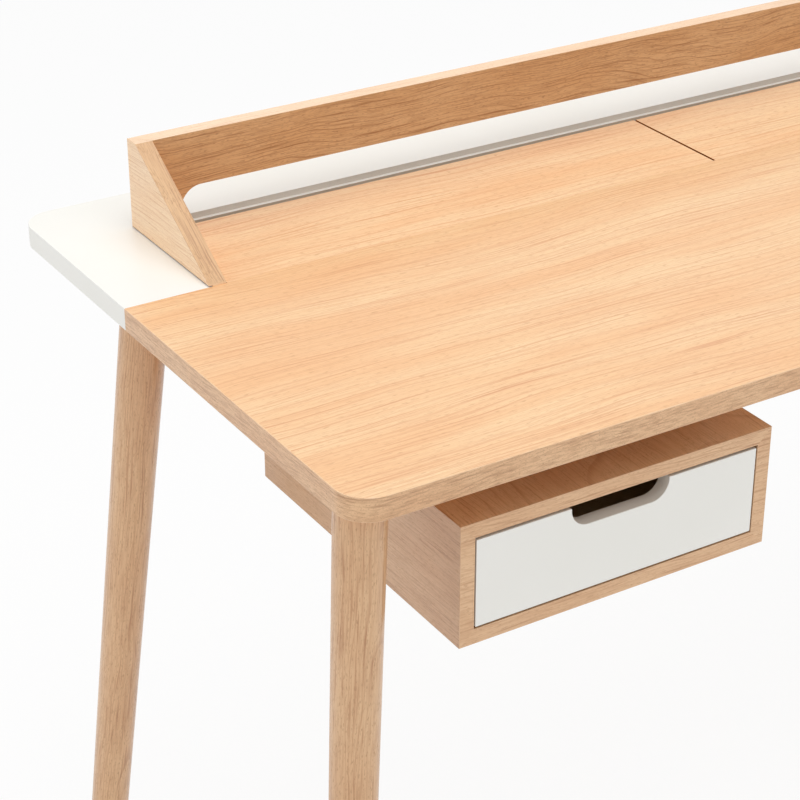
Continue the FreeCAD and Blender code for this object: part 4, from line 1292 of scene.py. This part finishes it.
@dataclass
class Hardware:
    """Screws with cross recesses, buffers, stops, glides and dowels."""

    head_share: float = 0.32
    recess_share: float = 0.3
    recess_width_share: float = 0.09
    recess_depth_share: float = 0.6
    recess_floor_share: float = 0.7
    recess_corner_steps: int = 3
    recess_side_steps: int = 2
    edge_share: float = 0.08
    edge_middle_share: float = 0.3
    neck_share: float = 0.98
    shank_share: float = 0.55
    tip_share: float = 0.15
    angle_slack: float = 1e-9
    pad_sides: int = 40
    pad_steps: int = 4
    dome_height_share: float = 0.45
    dome_radius_share: float = 0.3
    base_radius_share: float = 0.98
    base_height_share: float = 0.05

    def build(self) -> None:
        """Builds the fittings that show and dresses those that don't."""
        for node, way in (("bearer_screws", Z_WAY), ("tray_floor_screws", Z_WAY), ("case_bolts", Z_WAY),
                          ("tray_screws", Y_WAY)):
            self.screws(node, lambda box, way=way: way)
        middle = (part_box("runner_left")[0].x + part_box("runner_right")[1].x) / 2
        self.screws("runner_screws", lambda box: X_WAY if box[0].x > middle else -X_WAY)
        self.pads("lid_buffers", Z_WAY, Slot.RUBBER, RUBBER)
        self.pads("drawer_stops", -Y_WAY, Slot.RUBBER, RUBBER)
        self.pads("leg_glides", -Z_WAY, Slot.GLIDE, GLIDE)
        for node in ("board_dowels", "gallery_end_dowels", "gallery_corner_dowels", "case_dowels",
                     "drawer_dowels"):
            dress_node(node, DOWEL_WOOD)

    def screws(self, node: str, way_of: Callable[[Box], Vector]) -> None:
        """Screws of a node, each with a rounded head and a cross recess.

        Args:
            node: The node.
            way_of: Gives the way that a screw runs from its head, from its box.
        """
        shapes = []
        for box in solid_boxes(node):
            way, size = way_of(box), box[1] - box[0]
            length = abs(size.dot(way))
            at = (box[0] + box[1]) / 2 - way * length / 2
            shapes.append(self.screw(at, way, min(size), length))
        put_up_together(Fitting(node, Body.FRAME, Slot.STEEL, STEEL), shapes)

    def screw(self, at: Vector, way: Vector, width: float, length: float) -> BMesh:
        """One screw.

        Args:
            at: Middle of its head's face.
            way: Which way it runs.
            width: Diameter of its head.
            length: Whole length.

        Returns:
            The solid.
        """
        square, diagonal = math.pi / 2, math.pi / 4
        arm, half = width * self.recess_share, width * self.recess_width_share
        corner = math.atan2(half, arm)
        first = [corner * index / self.recess_corner_steps for index in range(self.recess_corner_steps + 1)]
        first += [corner + (diagonal - corner) * (index + 1) / self.recess_side_steps
                  for index in range(self.recess_side_steps)]
        quarter = [*first, *[square - angle for angle in reversed(first[1:-1])]]
        angles = [turn * square + angle for turn in range(4) for angle in quarter]

        def cross(angle: float) -> float:
            """Reach of the recess at an angle."""
            off = min(angle % square, square - angle % square)
            return arm / math.cos(off) if off <= corner + self.angle_slack else half / math.sin(off)

        def recess_floor(angle: float) -> float:
            """Reach of the recess's floor at an angle."""
            return cross(angle) * self.recess_floor_share
        head, edge, radius = width * self.head_share, width * self.edge_share, width / 2
        shank, middle = width * self.shank_share / 2, edge * self.edge_middle_share
        rows = [(recess_floor, head * self.recess_depth_share), (cross, 0.0), (circle(radius - edge), 0.0),
                (circle(radius - middle), middle), (circle(radius), edge),
                (circle(radius), head * self.neck_share), (circle(shank), head),
                (circle(shank), length - shank * 2), (circle(shank * self.tip_share), length)]
        return turned(at, way, rows, angles)

    def pads(self, node: str, way: Vector, slot: Slot, finish: Finish) -> None:
        """Round pads of a node, domed on the side that they bear on.

        Args:
            node: The node.
            way: Which way the pads bear.
            slot: Slot of their finish.
            finish: Their finish.
        """
        shapes = []
        angles = [math.tau * index / self.pad_sides for index in range(self.pad_sides)]
        for low, high in solid_boxes(node):
            size = high - low
            height, radius = abs(size.dot(way)), max(size) / 2
            dome = min(height * self.dome_height_share, radius * self.dome_radius_share)
            at = (low + high) / 2 - way * height / 2
            rows = [(circle(radius * self.base_radius_share), 0.0),
                    (circle(radius), height * self.base_height_share)]
            rows += [(circle(radius - dome * (1 - math.cos(step))), height - dome * (1 - math.sin(step)))
                     for step in quarter_turn(self.pad_steps)]
            shapes.append(turned(at, way, rows, angles))
        put_up_together(Fitting(node, Body.FRAME, slot, finish), shapes)


@dataclass(frozen=True)
class Lamp:
    """A square soft lamp: where it hangs, what it points at, its side in metres and its power in watts."""

    name: str
    place: Place
    aim: Place
    size: float
    power: float

    def hang(self) -> None:
        """Hangs the lamp in the scene."""
        light = bpy.data.lights.new(self.name, "AREA")
        light.shape, light.size, light.energy = "SQUARE", self.size, self.power
        lamp = in_scene(self.name, light)
        lamp.location = self.place
        lamp.rotation_euler = (Vector(self.aim) - Vector(self.place)).to_track_quat("-Z", "Y").to_euler()


def seen_straight(wiring: Wiring) -> NodeSocket:
    """1 for rays that carry a picture of what they meet, 0 for those that only light it."""
    path = wiring.add("ShaderNodeLightPath")
    rays = [path.outputs[name] for name in ("Is Camera Ray", "Is Glossy Ray", "Is Transmission Ray")]
    return wiring.plus(wiring.plus(rays[0], rays[1]), rays[2], clamp=True)


@dataclass
class Studio:
    """Pale floor, soft light, white surroundings and the camera."""

    floor_half: float = 20.0
    floor_level: float = -0.3 * MM
    floor_colour: Colour = (0.95, 0.95, 0.95, 1.0)
    floor_roughness: float = 0.9
    floor_share: float = 0.9
    sky_colour: Colour = (1.0, 1.0, 1.0, 1.0)
    sky_light: float = 0.6
    lamps: tuple[Lamp, ...] = (
        Lamp("front_overhead", (-0.5, -0.9, 3.4), (0.0, 0.0, 0.75), 2.2, 17.0),
        Lamp("rear_overhead", (-0.2, 0.6, 3.4), (0.0, 0.2, 0.75), 2.2, 25.0),
        Lamp("left_fill", (-3.8, 0.8, 2.0), (0.0, 0.0, 0.6), 1.6, 15.0),
        Lamp("front_fill", (-0.6, -4.0, 1.5), (0.0, 0.0, 0.6), 2.4, 14.0))
    camera_place: Place = (-1.5574, -1.7357, 1.710)
    camera_tilt: float = 61.931
    camera_turn: float = -31.493
    camera_roll: float = -0.077
    camera_lens: float = 99.66

    def build(self) -> None:
        """Builds the floor, the surroundings, the lamps and the camera."""
        self.floor()
        self.surroundings()
        for lamp in self.lamps:
            lamp.hang()
        self.camera()

    def floor(self) -> None:
        """White floor that keeps a soft shadow."""
        half, level = self.floor_half, self.floor_level
        corners = [(-half, -half, level), (half, -half, level), (half, half, level), (-half, half, level)]
        mesh = bpy.data.meshes.new("floor")
        mesh.from_pydata(corners, [], [range(len(corners))])
        floor = in_scene("floor", mesh)
        wiring = MaterialWiring("floor_white")
        wiring.give(Base_Color=self.floor_colour, Roughness=self.floor_roughness)
        glow = wiring.add("ShaderNodeEmission").outputs[0]
        share = wiring.times(seen_straight(wiring), self.floor_share)
        wiring.feed(wiring.output, wiring.blend(share, wiring.surface.outputs["BSDF"], glow))
        mesh.materials.append(wiring.material)

    def surroundings(self) -> None:
        """White all round to the eye, and a softer level as light."""
        world = bpy.data.worlds.new("white_surroundings")
        world.use_nodes = True
        bpy.context.scene.world = world
        wiring = Wiring(world.node_tree)
        wiring.tree.nodes.clear()
        shades = []
        for strength in (self.sky_light, 1.0):
            shades.append(wiring.solve("ShaderNodeBackground", self.sky_colour, strength))
        output = wiring.add("ShaderNodeOutputWorld").inputs["Surface"]
        wiring.feed(output, wiring.blend(seen_straight(wiring), *shades))

    def camera(self) -> None:
        """Camera at the photograph's place and angle."""
        lens = bpy.data.cameras.new("picture_camera")
        lens.lens = self.camera_lens
        camera = in_scene("picture_camera", lens)
        look = Euler((math.radians(self.camera_tilt), 0, math.radians(self.camera_turn))).to_matrix()
        roll = Matrix.Rotation(math.radians(self.camera_roll), 3, "Z")
        camera.matrix_world = Matrix.Translation(self.camera_place) @ (look @ roll).to_4x4()
        bpy.context.scene.camera = camera


def main() -> None:
    """Builds the desk's sub-assemblies in order, then the studio."""
    logging.basicConfig(level=logging.INFO, format="%(name)s: %(message)s")
    bpy.context.scene.view_settings.view_transform = "Standard"
    for part in (DeskTop(), Gallery(), Lids(), Tray(), DrawerCase(), Drawer(), Legs(), Bearers(), Hardware(),
                 Studio()):
        part.build()
        log.info("%s done", type(part).__name__)


if __name__ == "__main__":
    main()
